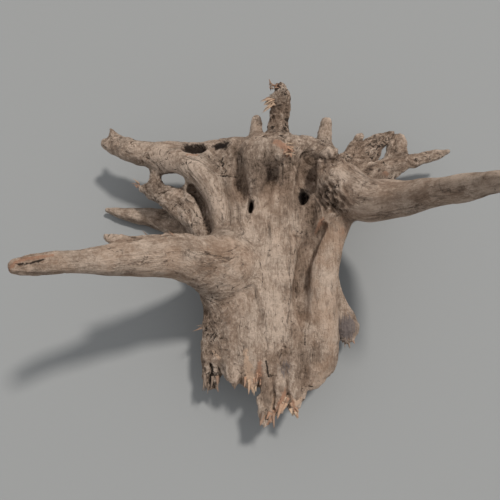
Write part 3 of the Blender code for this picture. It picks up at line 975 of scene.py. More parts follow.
    def marks(self) -> list[Mark]:
        """Every patch with its own look; some darker ones are painted shade and painted shadow."""
        return [
            Mark(Look.FRESH, (-0.020, -0.285, 0.100), 0.010, 0.45, 0.024),
            Mark(Look.FRESH, (-0.022, 0.266, 0.178), 0.014, 1.2),
            Mark(Look.FRESH, (0.256, 0.262, 0.070), 0.009, 0.7),
            Mark(Look.RED, (-0.030, -0.220, 0.108), 0.007, 1.1, 0.017),
            Mark(Look.RED, (0.010, -0.262, 0.100), 0.006, 0.9, 0.022, (0.3, 1.0, 0.0)),
            Mark(Look.RED, (0.028, -0.278, 0.095), 0.007, 0.8, 0.014),
            Mark(Look.RED, (0.010, 0.150, 0.208), 0.013, 1.2),
            Mark(Look.RED, (-0.364, -0.104, 0.330), 0.010, 0.6, 0.016, (-0.87, -0.2, 0.45)),
            Mark(Look.RED, (0.006, 0.300, 0.192), 0.011, 0.8),
            Mark(Look.RED, (0.078, 0.030, 0.150), 0.010, 0.55, 0.024, (0.8, 1.0, 0.0)),
            Mark(Look.RED, (0.122, 0.026, 0.146), 0.010, 0.6, 0.020, (0.8, 1.0, 0.0)),
            Mark(Look.RED, (0.224, 0.170, 0.090), 0.010, 1.0),
            Mark(Look.RED, (-0.033, 0.262, 0.156), 0.009, 0.5),
            Mark(Look.RED, (-0.156, 0.181, 0.146), 0.006, 0.8, 0.014, (1.0, 0.0, 0.0)),
            # painted near-black: the shade inside the round hole, the slit, the rim hollows and the splits,
            # and the rot in the lip's left corner
            Mark(Look.ROT, (0.053, 0.094, 0.130), 0.012, 1.4),
            Mark(Look.ROT, (-0.043, 0.068, 0.158), 0.007, 1.2, 0.012),
            Mark(Look.ROT, (-0.152, 0.190, 0.140), 0.011, 1.3, 0.018, (1.0, 0.0, 0.0)),
            Mark(Look.ROT, (-0.100, 0.191, 0.152), 0.007, 1.2, 0.013, (1.0, 0.0, 0.0)),
            Mark(Look.ROT, (0.031, -0.095, 0.130), 0.005, 1.0, 0.022),
            Mark(Look.ROT, (0.111, -0.052, 0.106), 0.004, 1.0, 0.018),
            Mark(Look.ROT, (-0.115, -0.225, 0.066), 0.005, 0.9, 0.016),
            Mark(Look.ROT, (-0.006, -0.240, 0.108), 0.004, 0.8, 0.020),
            Mark(Look.ROT, (0.018, -0.250, 0.104), 0.004, 0.8, 0.020),
            Mark(Look.STAIN, (0.128, -0.138, 0.080), 0.022, 1.1, 0.030, (0.3, 1.0, 0.0)),
            Mark(Look.STAIN, (-0.142, 0.190, 0.146), 0.008, 1.0),
            Mark(Look.STAIN, (0.014, -0.212, 0.110), 0.012, 0.7, 0.018),
            Mark(Look.STAIN, (-0.085, -0.110, 0.120), 0.012, 0.4, 0.050),
            Mark(Look.PALE, (0.000, -0.110, 0.140), 0.060, 0.40, 0.100),
            Mark(Look.PALE, (-0.170, -0.040, 0.230), 0.040, 0.30, 0.120, (-0.9, -0.2, 0.4)),
            Mark(Look.PALE, (-0.190, 0.190, 0.130), 0.040, 0.50, 0.080, (1.0, 0.0, 0.0)),
            Mark(Look.PALE, (0.080, -0.090, 0.130), 0.018, 0.50, 0.090),
            # darker along the groove: painted shade in it
            Mark(Look.PALE, (0.046, -0.065, 0.122), 0.013, -0.90, 0.060),
            Mark(Look.PALE, (0.068, 0.015, 0.136), 0.014, -0.80, 0.040, (0.6, 1.0, 0.0)),
            Mark(Look.PALE, (-0.110, -0.100, 0.100), 0.018, -0.60, 0.060),
            Mark(Look.PALE, (0.060, -0.205, 0.105), 0.025, -0.50),
            # darker crown: partly greyer wood, partly painted shade from the block and knob
            Mark(Look.PALE, (0.030, 0.100, 0.170), 0.050, -0.45),
            Mark(Look.PALE, (0.100, 0.060, 0.160), 0.038, -0.70),
            # a painted shadow at the knob's foot
            Mark(Look.PALE, (0.002, 0.118, 0.178), 0.016, -0.60),
            Mark(Look.PALE, (0.101, 0.150, 0.180), 0.010, 0.40),
            Mark(Look.SWELL, (0.053, -0.148, 0.130), 0.010, 0.004),
            Mark(Look.SWELL, (-0.050, -0.220, 0.110), 0.009, -0.005, 0.024),
            Mark(Look.SWELL, (-0.030, -0.226, 0.110), 0.007, -0.004, 0.016),
            Mark(Look.SWELL, (0.245, 0.042, 0.260), 0.010, 0.002),
            Mark(Look.SWELL, (-0.241, 0.104, 0.035), 0.008, 0.004),
            Mark(Look.SWELL, (0.028, -0.120, 0.138), 0.008, 0.003),
            Mark(Look.RAGGED, (-0.150, 0.190, 0.150), 0.030, 0.6),
            Mark(Look.RAGGED, (-0.090, 0.160, 0.160), 0.032, 0.8),
            Mark(Look.RAGGED, (0.030, 0.165, 0.165), 0.035, 0.6),
            Mark(Look.RAGGED, (0.100, 0.152, 0.185), 0.022, 1.5),
            Mark(Look.RAGGED, (-0.150, -0.018, 0.232), 0.012, 1.2, 0.036, (1.0, 0.1, 0.0)),
            Mark(Look.RAGGED, (0.165, 0.215, 0.080), 0.040, 0.15),
            Mark(Look.RAGGED, (-0.350, -0.098, 0.330), 0.020, 0.8),
            Mark(Look.RAGGED, (-0.210, 0.150, 0.090), 0.030, 0.3),
            Mark(Look.RAGGED, (0.006, 0.260, 0.165), 0.040, 0.6),
            Mark(Look.RAGGED, (-0.190, -0.060, 0.200), 0.020, 0.4, 0.050, (-0.9, -0.2, 0.4)),
            Mark(Look.RAGGED, (0.108, 0.080, 0.168), 0.030, 1.9),
            Mark(Look.RAGGED, (-0.010, -0.275, 0.090), 0.040, 0.7),
            Mark(Look.RAGGED, (-0.112, -0.225, 0.070), 0.030, 0.9),
            Mark(Look.RAGGED, (0.070, -0.225, 0.080), 0.035, 0.5),
            Mark(Look.RAGGED, (0.128, -0.155, 0.070), 0.022, 0.8),
            Mark(Look.RAGGED, (0.012, 0.150, 0.208), 0.014, 0.8),
            Mark(Look.RAGGED, (0.008, 0.300, 0.190), 0.016, 1.0),
            Mark(Look.RAGGED, (0.260, 0.262, 0.068), 0.018, 0.8),
            Mark(Look.RAGGED, (0.225, 0.245, 0.080), 0.024, 0.25),
            Mark(Look.RAGGED, (-0.095, -0.130, 0.105), 0.025, 0.5, 0.060),
        ]


class Shader:
    """A hand for laying out nodes: it adds them, sets them and joins them."""

    def __init__(self, tree: bpy.types.NodeTree) -> None:
        """Take hold of an empty node tree."""
        self.tree = tree

    def node(self, kind: str, **settings: object) -> bpy.types.Node:
        """Add a node of a kind and set its properties."""
        made = self.tree.nodes.new(kind)
        for key, value in settings.items():
            setattr(made, key, value)
        return made

    def put(self, socket: bpy.types.NodeSocket, value: object) -> None:
        """Join a socket to another, or give it a plain value."""
        if isinstance(value, bpy.types.NodeSocket):
            self.tree.links.new(value, socket)
        else:
            socket.default_value = value

    def attribute(self, name: str, output: str = "Fac") -> bpy.types.NodeSocket:
        """Read one of the skin's attributes."""
        return self.node("ShaderNodeAttribute", attribute_name=name).outputs[output]

    def math(self, how: str, a: object, b: object = 0.0, clamp: bool = False) -> bpy.types.NodeSocket:
        """One sum."""
        made = self.node("ShaderNodeMath", operation=how, use_clamp=clamp)
        self.put(made.inputs[0], a)
        self.put(made.inputs[1], b)
        return made.outputs[0]

    def ramp(
        self, value: object, low: float, high: float, to_low: float = 0.0, to_high: float = 1.0
    ) -> bpy.types.NodeSocket:
        """Stretch a value between two limits, with soft ends."""
        made = self.node("ShaderNodeMapRange", interpolation_type="SMOOTHSTEP")
        for socket, given in zip(made.inputs, (value, low, high, to_low, to_high)):
            self.put(socket, given)
        return made.outputs[0]

    def blend(self, share: object, a: object, b: object) -> bpy.types.NodeSocket:
        """Mix two colours."""
        made = self.node("ShaderNodeMix", data_type="RGBA")
        self.put(made.inputs["Factor"], share)
        self.put(made.inputs[6], a)
        self.put(made.inputs[7], b)
        return made.outputs[2]

    def scaled(self, vector: object, by: tuple[float, float, float]) -> bpy.types.NodeSocket:
        """Multiply a vector, axis by axis."""
        made = self.node("ShaderNodeVectorMath", operation="MULTIPLY")
        self.put(made.inputs[0], vector)
        made.inputs[1].default_value = by
        return made.outputs[0]

    def vector(self, how: str, a: object, b: object, output: str = "Vector") -> bpy.types.NodeSocket:
        """One sum of vectors."""
        made = self.node("ShaderNodeVectorMath", operation=how)
        self.put(made.inputs[0], a)
        self.put(made.inputs[1], b)
        return made.outputs[output]

    def noise(
        self, vector: object, scale: float, detail: float = 3.0, rough: float = 0.55, bend: float = 0.0
    ) -> bpy.types.NodeSocket:
        """Cloudy noise about a half."""
        made = self.node("ShaderNodeTexNoise")
        self.put(made.inputs["Vector"], vector)
        for key, given in (("Scale", scale), ("Detail", detail), ("Roughness", rough), ("Distortion", bend)):
            made.inputs[key].default_value = given
        return made.outputs[0]


class Effects:
    """The shared effects, each a node group built once."""

    def __init__(self) -> None:
        """Build every group."""
        self.grain = self.build_grain()
        self.pits = self.build_pits()
        self.strip = self.build_strip()

    @staticmethod
    def group(
        name: str, takes: dict[str, tuple[str, object]], gives: dict[str, str]
    ) -> tuple[Shader, dict, dict]:
        """Start a node group.

        Args:
            name: the group's name.
            takes: inputs, each with its kind and usual value.
            gives: outputs, each with its kind.

        Returns:
            A hand on the group, its input sockets and its output sockets.
        """
        tree = bpy.data.node_groups.new(name, "ShaderNodeTree")
        for key, (kind, usual) in takes.items():
            made = tree.interface.new_socket(key, in_out="INPUT", socket_type=kind)
            if usual is not None:
                made.default_value = usual
        for key, kind in gives.items():
            tree.interface.new_socket(key, in_out="OUTPUT", socket_type=kind)
        hand = Shader(tree)
        return hand, hand.node("NodeGroupInput").outputs, hand.node("NodeGroupOutput").inputs

    def build_grain(self) -> bpy.types.NodeTree:
        """Fine lengthwise grain: streaks, single fibres and dark checks, all stretched along the fibres."""
        hand, takes, gives = self.group(
            "grain",
            {"Fibre": ("NodeSocketVector", None)},
            {"Streak": "NodeSocketFloat", "Fine": "NodeSocketFloat", "Check": "NodeSocketFloat"},
        )
        wide = hand.scaled(takes["Fibre"], (1.0, 1.0, 0.22))
        thin = hand.scaled(takes["Fibre"], (1.0, 1.0, 0.16))
        streak = hand.noise(wide, 90.0, 6.0, 0.74, 0.3)
        fine = hand.noise(thin, 480.0, 4.0, 0.68, 0.2)
        line = hand.noise(thin, 100.0, 5.0, 0.66, 0.8)
        gap = hand.math("ABSOLUTE", hand.math("SUBTRACT", line, 0.5))
        where = hand.ramp(hand.noise(wide, 34.0, 4.0, 0.6), 0.50, 0.64)
        check = hand.math("MULTIPLY", hand.ramp(gap, 0.0, 0.022, 1.0, 0.0), where)
        hand.put(gives["Streak"], hand.ramp(streak, 0.22, 0.78))
        hand.put(gives["Fine"], hand.ramp(fine, 0.22, 0.78))
        hand.put(gives["Check"], check)
        return hand.tree

    def build_pits(self) -> bpy.types.NodeTree:
        """Rough pitting: ragged pits of several sizes, scattered in patches."""
        hand, takes, gives = self.group(
            "pits",
            {"Place": ("NodeSocketVector", None), "Amount": ("NodeSocketFloat", 0.5)},
            {"Pit": "NodeSocketFloat", "Rough": "NodeSocketFloat"},
        )
        rough = hand.noise(takes["Place"], 170.0, 6.0, 0.78, 0.4)
        deep = hand.noise(takes["Place"], 85.0, 4.0, 0.65, 1.6)
        patch = hand.ramp(hand.noise(takes["Place"], 22.0, 3.0), 0.42, 0.66)
        room = hand.math("MULTIPLY", hand.math("ADD", patch, 0.2), takes["Amount"])
        limit = hand.math("ADD", hand.math("MULTIPLY", room, 0.07), 0.335)
        pit = hand.ramp(hand.math("SUBTRACT", limit, deep), -0.015, 0.03)
        hand.put(gives["Pit"], hand.math("MULTIPLY", pit, hand.math("ADD", room, 0.35), True))
        hand.put(gives["Rough"], hand.ramp(rough, 0.2, 0.8))
        return hand.tree

    def build_strip(self) -> bpy.types.NodeTree:
        """A ragged strip laid from one place to another, wherever the skin passes over or under it.

        The strip is strong where the distance to the straight line is less than the width; the edge noise
        moves its border in and out, and the greater of it and the mask so far is kept. The place is handed
        on with a billionth of the mask added, so that strips in a row are worked out one after another and
        the shader never holds many values at once.
        """
        hand, takes, gives = self.group(
            "strip",
            {
                "Place": ("NodeSocketVector", None),
                "From": ("NodeSocketVector", None),
                "Leg": ("NodeSocketVector", None),
                "Width": ("NodeSocketFloat", 0.003),
                "Edge": ("NodeSocketFloat", 0.0),
                "Mask": ("NodeSocketFloat", 0.0),
            },
            {"Mask": "NodeSocketFloat", "Place": "NodeSocketVector"},
        )
        off = hand.vector("SUBTRACT", takes["Place"], takes["From"])
        along = hand.vector("DOT_PRODUCT", off, takes["Leg"], "Value")
        whole = hand.vector("DOT_PRODUCT", takes["Leg"], takes["Leg"], "Value")
        share = hand.math("DIVIDE", along, whole, True)
        gap = hand.vector("DISTANCE", off, hand.vector("MULTIPLY", takes["Leg"], share), "Value")
        border = hand.math("ADD", hand.math("DIVIDE", gap, takes["Width"]), takes["Edge"])
        near = hand.math("SUBTRACT", border, 0.55)
        fade = hand.math("SUBTRACT", 1.0, hand.math("DIVIDE", near, 0.6), True)
        hand.put(gives["Mask"], hand.math("MAXIMUM", fade, takes["Mask"]))
        hand.put(gives["Place"], hand.vector("ADD", takes["Place"], hand.math("MULTIPLY", fade, 1e-9)))
        return hand.tree


class Kind(Enum):
    """What a strip shows."""

    # near-black: dark splits, and painted shade in holes and under a ledge
    SPLIT = "split"
    FRESH = "fresh"
    RED = "red"
    PALE = "pale"


@dataclass(frozen=True)
class Strip:
    """A narrow mark with crisp edges, run through several places."""

    kind: Kind
    wide: float
    places: tuple[tuple[float, float, float], ...]


STRIPS: tuple[Strip, ...] = (
    # the split end of the left arm
    Strip(Kind.SPLIT, 0.0017, ((-0.358, -0.103, 0.335), (-0.343, -0.099, 0.331), (-0.330, -0.090, 0.322))),
    Strip(Kind.RED, 0.0034, ((-0.368, -0.110, 0.336), (-0.350, -0.093, 0.331), (-0.322, -0.081, 0.320))),
    # splits down the stem's sheet of wood and round its broken step
    Strip(Kind.SPLIT, 0.0007, ((-0.028, -0.037, 0.155), (-0.023, -0.060, 0.150), (-0.026, -0.093, 0.145))),
    Strip(Kind.SPLIT, 0.0026, ((0.036, -0.068, 0.120), (0.036, -0.088, 0.118))),
    Strip(Kind.SPLIT, 0.0012, ((0.029, -0.120, 0.126), (0.040, -0.130, 0.128), (0.049, -0.140, 0.128),
                               (0.048, -0.173, 0.118))),
    Strip(Kind.SPLIT, 0.0010, ((0.007, -0.165, 0.126), (0.017, -0.186, 0.120), (0.012, -0.204, 0.116))),
    Strip(Kind.PALE, 0.0036, ((0.040, -0.122, 0.130), (0.052, -0.140, 0.130))),
    # the lip: dark rot on the left, a cream plate, a fox-red strip, torn edges in the middle
    Strip(Kind.SPLIT, 0.0030, ((-0.111, -0.206, 0.082), (-0.109, -0.239, 0.070))),
    Strip(Kind.SPLIT, 0.0024, ((-0.099, -0.208, 0.086), (-0.098, -0.230, 0.076))),
    Strip(Kind.FRESH, 0.0024, ((-0.110, -0.178, 0.088), (-0.098, -0.192, 0.098))),
    Strip(Kind.FRESH, 0.0050, ((-0.053, -0.184, 0.118), (-0.050, -0.205, 0.114))),
    Strip(Kind.FRESH, 0.0080, ((-0.048, -0.208, 0.114), (-0.042, -0.245, 0.106))),
    Strip(Kind.RED, 0.0040, ((-0.028, -0.202, 0.116), (-0.031, -0.236, 0.106))),
    Strip(Kind.SPLIT, 0.0018, ((-0.018, -0.200, 0.114), (-0.014, -0.224, 0.108))),
    Strip(Kind.FRESH, 0.0020, ((-0.004, -0.252, 0.100), (-0.015, -0.298, 0.089))),
    Strip(Kind.RED, 0.0030, ((0.014, -0.249, 0.100), (0.000, -0.274, 0.094), (-0.015, -0.299, 0.088))),
    Strip(Kind.FRESH, 0.0034, ((0.020, -0.254, 0.098), (0.033, -0.268, 0.094), (0.042, -0.258, 0.092))),
    Strip(Kind.RED, 0.0026, ((0.026, -0.262, 0.096), (0.032, -0.286, 0.090))),
    # the crown: painted shade in its holes, the torn end of the knob, upright cracks, seams and a painted
    # shadow under a ledge
    Strip(Kind.SPLIT, 0.0120, ((-0.164, 0.196, 0.126), (-0.136, 0.192, 0.126))),
    Strip(Kind.RED, 0.0032, ((-0.162, 0.174, 0.148), (-0.144, 0.172, 0.148))),
    Strip(Kind.SPLIT, 0.0085, ((-0.108, 0.190, 0.142), (-0.090, 0.195, 0.144))),
    Strip(Kind.SPLIT, 0.0095, ((0.053, 0.106, 0.126), (0.053, 0.092, 0.126))),
    Strip(Kind.RED, 0.0080, ((0.002, 0.156, 0.222), (0.012, 0.149, 0.224), (0.022, 0.139, 0.216))),
    Strip(Kind.SPLIT, 0.0018, ((0.029, 0.170, 0.160), (0.029, 0.152, 0.160))),
    Strip(Kind.SPLIT, 0.0014, ((0.008, 0.128, 0.175), (0.009, 0.104, 0.165))),
    # a painted shadow line under the ledge left of the knob
    Strip(Kind.SPLIT, 0.0020, ((-0.105, 0.124, 0.155), (-0.086, 0.130, 0.156), (-0.068, 0.128, 0.156))),
    Strip(Kind.SPLIT, 0.0020, ((0.083, 0.041, 0.146), (0.097, 0.047, 0.150))),
    Strip(Kind.RED, 0.0040, ((0.084, 0.044, 0.146), (0.072, 0.025, 0.142))),
    Strip(Kind.RED, 0.0026, ((0.053, -0.020, 0.128), (0.050, -0.036, 0.126))),
    Strip(Kind.SPLIT, 0.0016, ((0.127, 0.061, 0.168), (0.144, 0.052, 0.164), (0.160, 0.045, 0.160))),
    Strip(Kind.SPLIT, 0.0020, ((0.002, 0.296, 0.178), (0.012, 0.272, 0.168), (0.008, 0.252, 0.160))),
)


@dataclass(frozen=True)
class WeatheredWood:
    """Old grey-brown wood: its colours from light crests to dark cracks, the crests partly a painted
    highlight and the hollows a painted shade.
    """

    name: str = "weathered_wood"
    dark: tuple[float, float, float, float] = (0.058, 0.040, 0.029, 1.0)
    mid: tuple[float, float, float, float] = (0.300, 0.219, 0.166, 1.0)
    light: tuple[float, float, float, float] = (0.660, 0.520, 0.420, 1.0)
    warm: tuple[float, float, float, float] = (0.400, 0.235, 0.145, 1.0)
    fresh: tuple[float, float, float, float] = (0.640, 0.445, 0.320, 1.0)
    red: tuple[float, float, float, float] = (0.450, 0.245, 0.160, 1.0)
    # near-black for rot and for painted shade in holes, splits and pits
    rot: tuple[float, float, float, float] = (0.020, 0.013, 0.010, 1.0)
    stain: tuple[float, float, float, float] = (0.170, 0.145, 0.145, 1.0)
    bump_depth: float = 0.0040

    def tone(self, hand: Shader, streak: object, fine: object, rough: object) -> bpy.types.NodeSocket:
        """How light the wood is before its patches: grain, grit, clouds, paleness, painted shade in hollows
        and painted highlight on crests.

        Each noise counts by how far it is from its middle; grit counts for more on rough limbs.
        """
        place = hand.node("ShaderNodeTexCoord").outputs["Object"]
        cloud = hand.noise(place, 22.0, 5.0, 0.6, 0.5)
        drawn = hand.scaled(hand.attribute("fibre", "Vector"), (1.0, 1.0, 0.4))
        blotch = hand.noise(drawn, 60.0, 3.0, 0.6, 0.4)
        gritty = hand.math("ADD", hand.math("MULTIPLY", hand.attribute("rope"), 0.42), 0.24)
        total: object = 0.42
        for part, share in ((streak, 0.26), (fine, 0.34), (rough, gritty), (cloud, 1.25), (blotch, 0.60)):
            total = hand.math("ADD", hand.math("MULTIPLY", hand.math("SUBTRACT", part, 0.5), share), total)
        total = hand.math("ADD", hand.math("MULTIPLY", hand.attribute("pale"), 0.34), total)
        # sunk points painted darker and standing ones lighter: painted shade in hollows, painted highlight on
        # crests
        return hand.math("ADD", hand.math("MULTIPLY", hand.attribute("sunk"), -0.46), total)

    def masks(self, hand: Shader, place: object, strip: bpy.types.NodeTree) -> dict[Kind, object]:
        """For each kind of strip, the greatest of the masks of its lengths."""
        squash = (1.0, 1.0, 0.3)
        flat = hand.scaled(place, squash)
        edge = hand.math("MULTIPLY", hand.math("SUBTRACT", hand.noise(place, 210.0, 4.0, 0.7), 0.5), 3.0)
        found: dict[Kind, object] = dict.fromkeys(Kind, 0.0)
        for one in STRIPS:
            for start, stop in zip(np.array(one.places) * squash, np.array(one.places[1:]) * squash):
                made = hand.node("ShaderNodeGroup", node_tree=strip)
                given = {
                    "Place": flat, "From": tuple(start), "Leg": tuple(stop - start),
                    "Width": one.wide, "Edge": edge, "Mask": found[one.kind],
                }
                for key, value in given.items():
                    hand.put(made.inputs[key], value)
                found[one.kind] = made.outputs["Mask"]
                flat = made.outputs["Place"]
        return found

    def colour(
        self, hand: Shader, tone: object, check: object, pit: object, fine: object, strip: bpy.types.NodeTree
    ) -> bpy.types.NodeSocket:
        """Lay the wood's colours over one another, oldest first."""
        place = hand.node("ShaderNodeTexCoord").outputs["Object"]
        colour = hand.blend(hand.ramp(tone, 0.0, 0.55), self.dark, self.mid)
        colour = hand.blend(hand.ramp(tone, 0.45, 1.05), colour, self.light)
        patch = hand.ramp(hand.noise(place, 18.0, 4.0, 0.6, 0.5), 0.38, 0.62)
        patchy = hand.math("ADD", hand.math("MULTIPLY", patch, 0.62), 0.12)
        share = hand.math("MULTIPLY", hand.attribute("warm"), patchy, True)
        colour = hand.blend(share, colour, hand.blend(0.55, colour, self.warm))
        edge = hand.math("MULTIPLY", hand.math("SUBTRACT", fine, 0.5), 0.9)
        for name, paint in (("stain", self.stain), ("fresh", self.fresh), ("red", self.red)):
            mask = hand.ramp(hand.math("ADD", hand.attribute(name), edge), 0.30, 0.80, 0.0, 0.85)
            lit = hand.math("MULTIPLY", mask, hand.ramp(hand.attribute(name), 0.02, 0.15))
            colour = hand.blend(lit, colour, paint)
        masks = self.masks(hand, place, strip)
        strips = (
            (Kind.PALE, 0.7, self.light),
            (Kind.FRESH, hand.ramp(tone, 0.1, 0.7, 0.55, 0.95), self.fresh),
            (Kind.RED, hand.ramp(tone, 0.1, 0.7, 0.45, 0.85), self.red),
            (Kind.SPLIT, 0.92, self.rot),
        )
        for kind, strength, paint in strips:
            colour = hand.blend(hand.math("MULTIPLY", masks[kind], strength), colour, paint)
        crack = hand.ramp(hand.attribute("crack"), 0.15, 0.95, 0.0, 0.70)
        dark = hand.math("MAXIMUM", crack, hand.math("MULTIPLY", check, 0.72))
        colour = hand.blend(dark, colour, self.dark)
        # the pits painted near-black: painted shade inside them
        colour = hand.blend(hand.math("MULTIPLY", pit, 0.85), colour, self.rot)
        # rot, and painted shade inside the holes, from the marks
        return hand.blend(hand.ramp(hand.attribute("rot"), 0.2, 0.8), colour, self.rot)

    def material(self, effects: Effects) -> bpy.types.Material:
        """Build the material.

        Args:
            effects: the shared node groups.

        Returns:
            The finished material.
        """
        made = bpy.data.materials.new(self.name)
        made.use_nodes = True
        made.node_tree.nodes.clear()
        hand = Shader(made.node_tree)
        grain = hand.node("ShaderNodeGroup", node_tree=effects.grain)
        hand.put(grain.inputs["Fibre"], hand.attribute("fibre", "Vector"))
        pits = hand.node("ShaderNodeGroup", node_tree=effects.pits)
        hand.put(pits.inputs["Place"], hand.node("ShaderNodeTexCoord").outputs["Object"])
        torn = hand.math("MULTIPLY", hand.attribute("ragged"), 1.1)
        ropy = hand.math("MULTIPLY", hand.attribute("rope"), 0.75)
        hand.put(pits.inputs["Amount"], hand.math("ADD", torn, ropy))
        streak, fine, check = (grain.outputs[k] for k in ("Streak", "Fine", "Check"))
        pit, rough = pits.outputs["Pit"], pits.outputs["Rough"]
        tone = self.tone(hand, streak, fine, rough)
        height: object = 0.0
        for part, share in ((streak, 0.40), (fine, 0.30), (rough, 0.65), (check, -0.75), (pit, -0.90)):
            height = hand.math("ADD", hand.math("MULTIPLY", part, share), height)
        bump = hand.node("ShaderNodeBump")
        bump.inputs["Strength"].default_value = 1.0
        bump.inputs["Distance"].default_value = self.bump_depth
        hand.put(bump.inputs["Height"], height)
        shell = hand.node("ShaderNodeBsdfPrincipled")
        hand.put(shell.inputs["Base Color"], self.colour(hand, tone, check, pit, fine, effects.strip))
        hand.put(shell.inputs["Roughness"], hand.ramp(tone, 0.2, 0.9, 0.95, 0.80))
        shell.inputs["Specular IOR Level"].default_value = 0.2
        hand.put(shell.inputs["Normal"], bump.outputs["Normal"])
        hand.put(hand.node("ShaderNodeOutputMaterial").inputs["Surface"], shell.outputs["BSDF"])
        return made


@dataclass(frozen=True)
class TornFibre:
    """Freshly torn strands, each in its own shade from cream to fox red to grey."""

    name: str = "torn_fibre"
    cream: tuple[float, float, float, float] = (0.600, 0.440, 0.310, 1.0)
    fox: tuple[float, float, float, float] = (0.400, 0.225, 0.145, 1.0)
    grey: tuple[float, float, float, float] = (0.230, 0.172, 0.134, 1.0)

    def material(self) -> bpy.types.Material:
        """Build the material: shade by strand, with fine streaks."""
        made = bpy.data.materials.new(self.name)
        made.use_nodes = True
        made.node_tree.nodes.clear()
        hand = Shader(made.node_tree)
        shade = hand.attribute("shade")
        place = hand.node("ShaderNodeTexCoord").outputs["Object"]
        grit = hand.noise(place, 400.0, 4.0, 0.6)
        colour = hand.blend(hand.ramp(shade, 0.15, 0.5), self.grey, self.fox)
        colour = hand.blend(hand.ramp(shade, 0.55, 0.9), colour, self.cream)
        colour = hand.blend(hand.ramp(grit, 0.35, 0.65, 0.5, 0.0), colour, self.grey)
        bump = hand.node("ShaderNodeBump")
        bump.inputs["Strength"].default_value = 0.6
        bump.inputs["Distance"].default_value = 0.001
        hand.put(bump.inputs["Height"], grit)
        shell = hand.node("ShaderNodeBsdfPrincipled")
        hand.put(shell.inputs["Base Color"], colour)
        shell.inputs["Roughness"].default_value = 0.85
        shell.inputs["Specular IOR Level"].default_value = 0.2
        hand.put(shell.inputs["Normal"], bump.outputs["Normal"])
        hand.put(hand.node("ShaderNodeOutputMaterial").inputs["Surface"], shell.outputs["BSDF"])
        return made


@dataclass(frozen=True)
class Tuft:
    """A bunch of torn strands: where they start, how far apart, where they point and how big they are."""

    root: tuple[float, float, float]
    spread: tuple[float, float, float]
    way: tuple[float, float, float]
    fan: float
    count: int
    length: float
    half: float
    shade: float


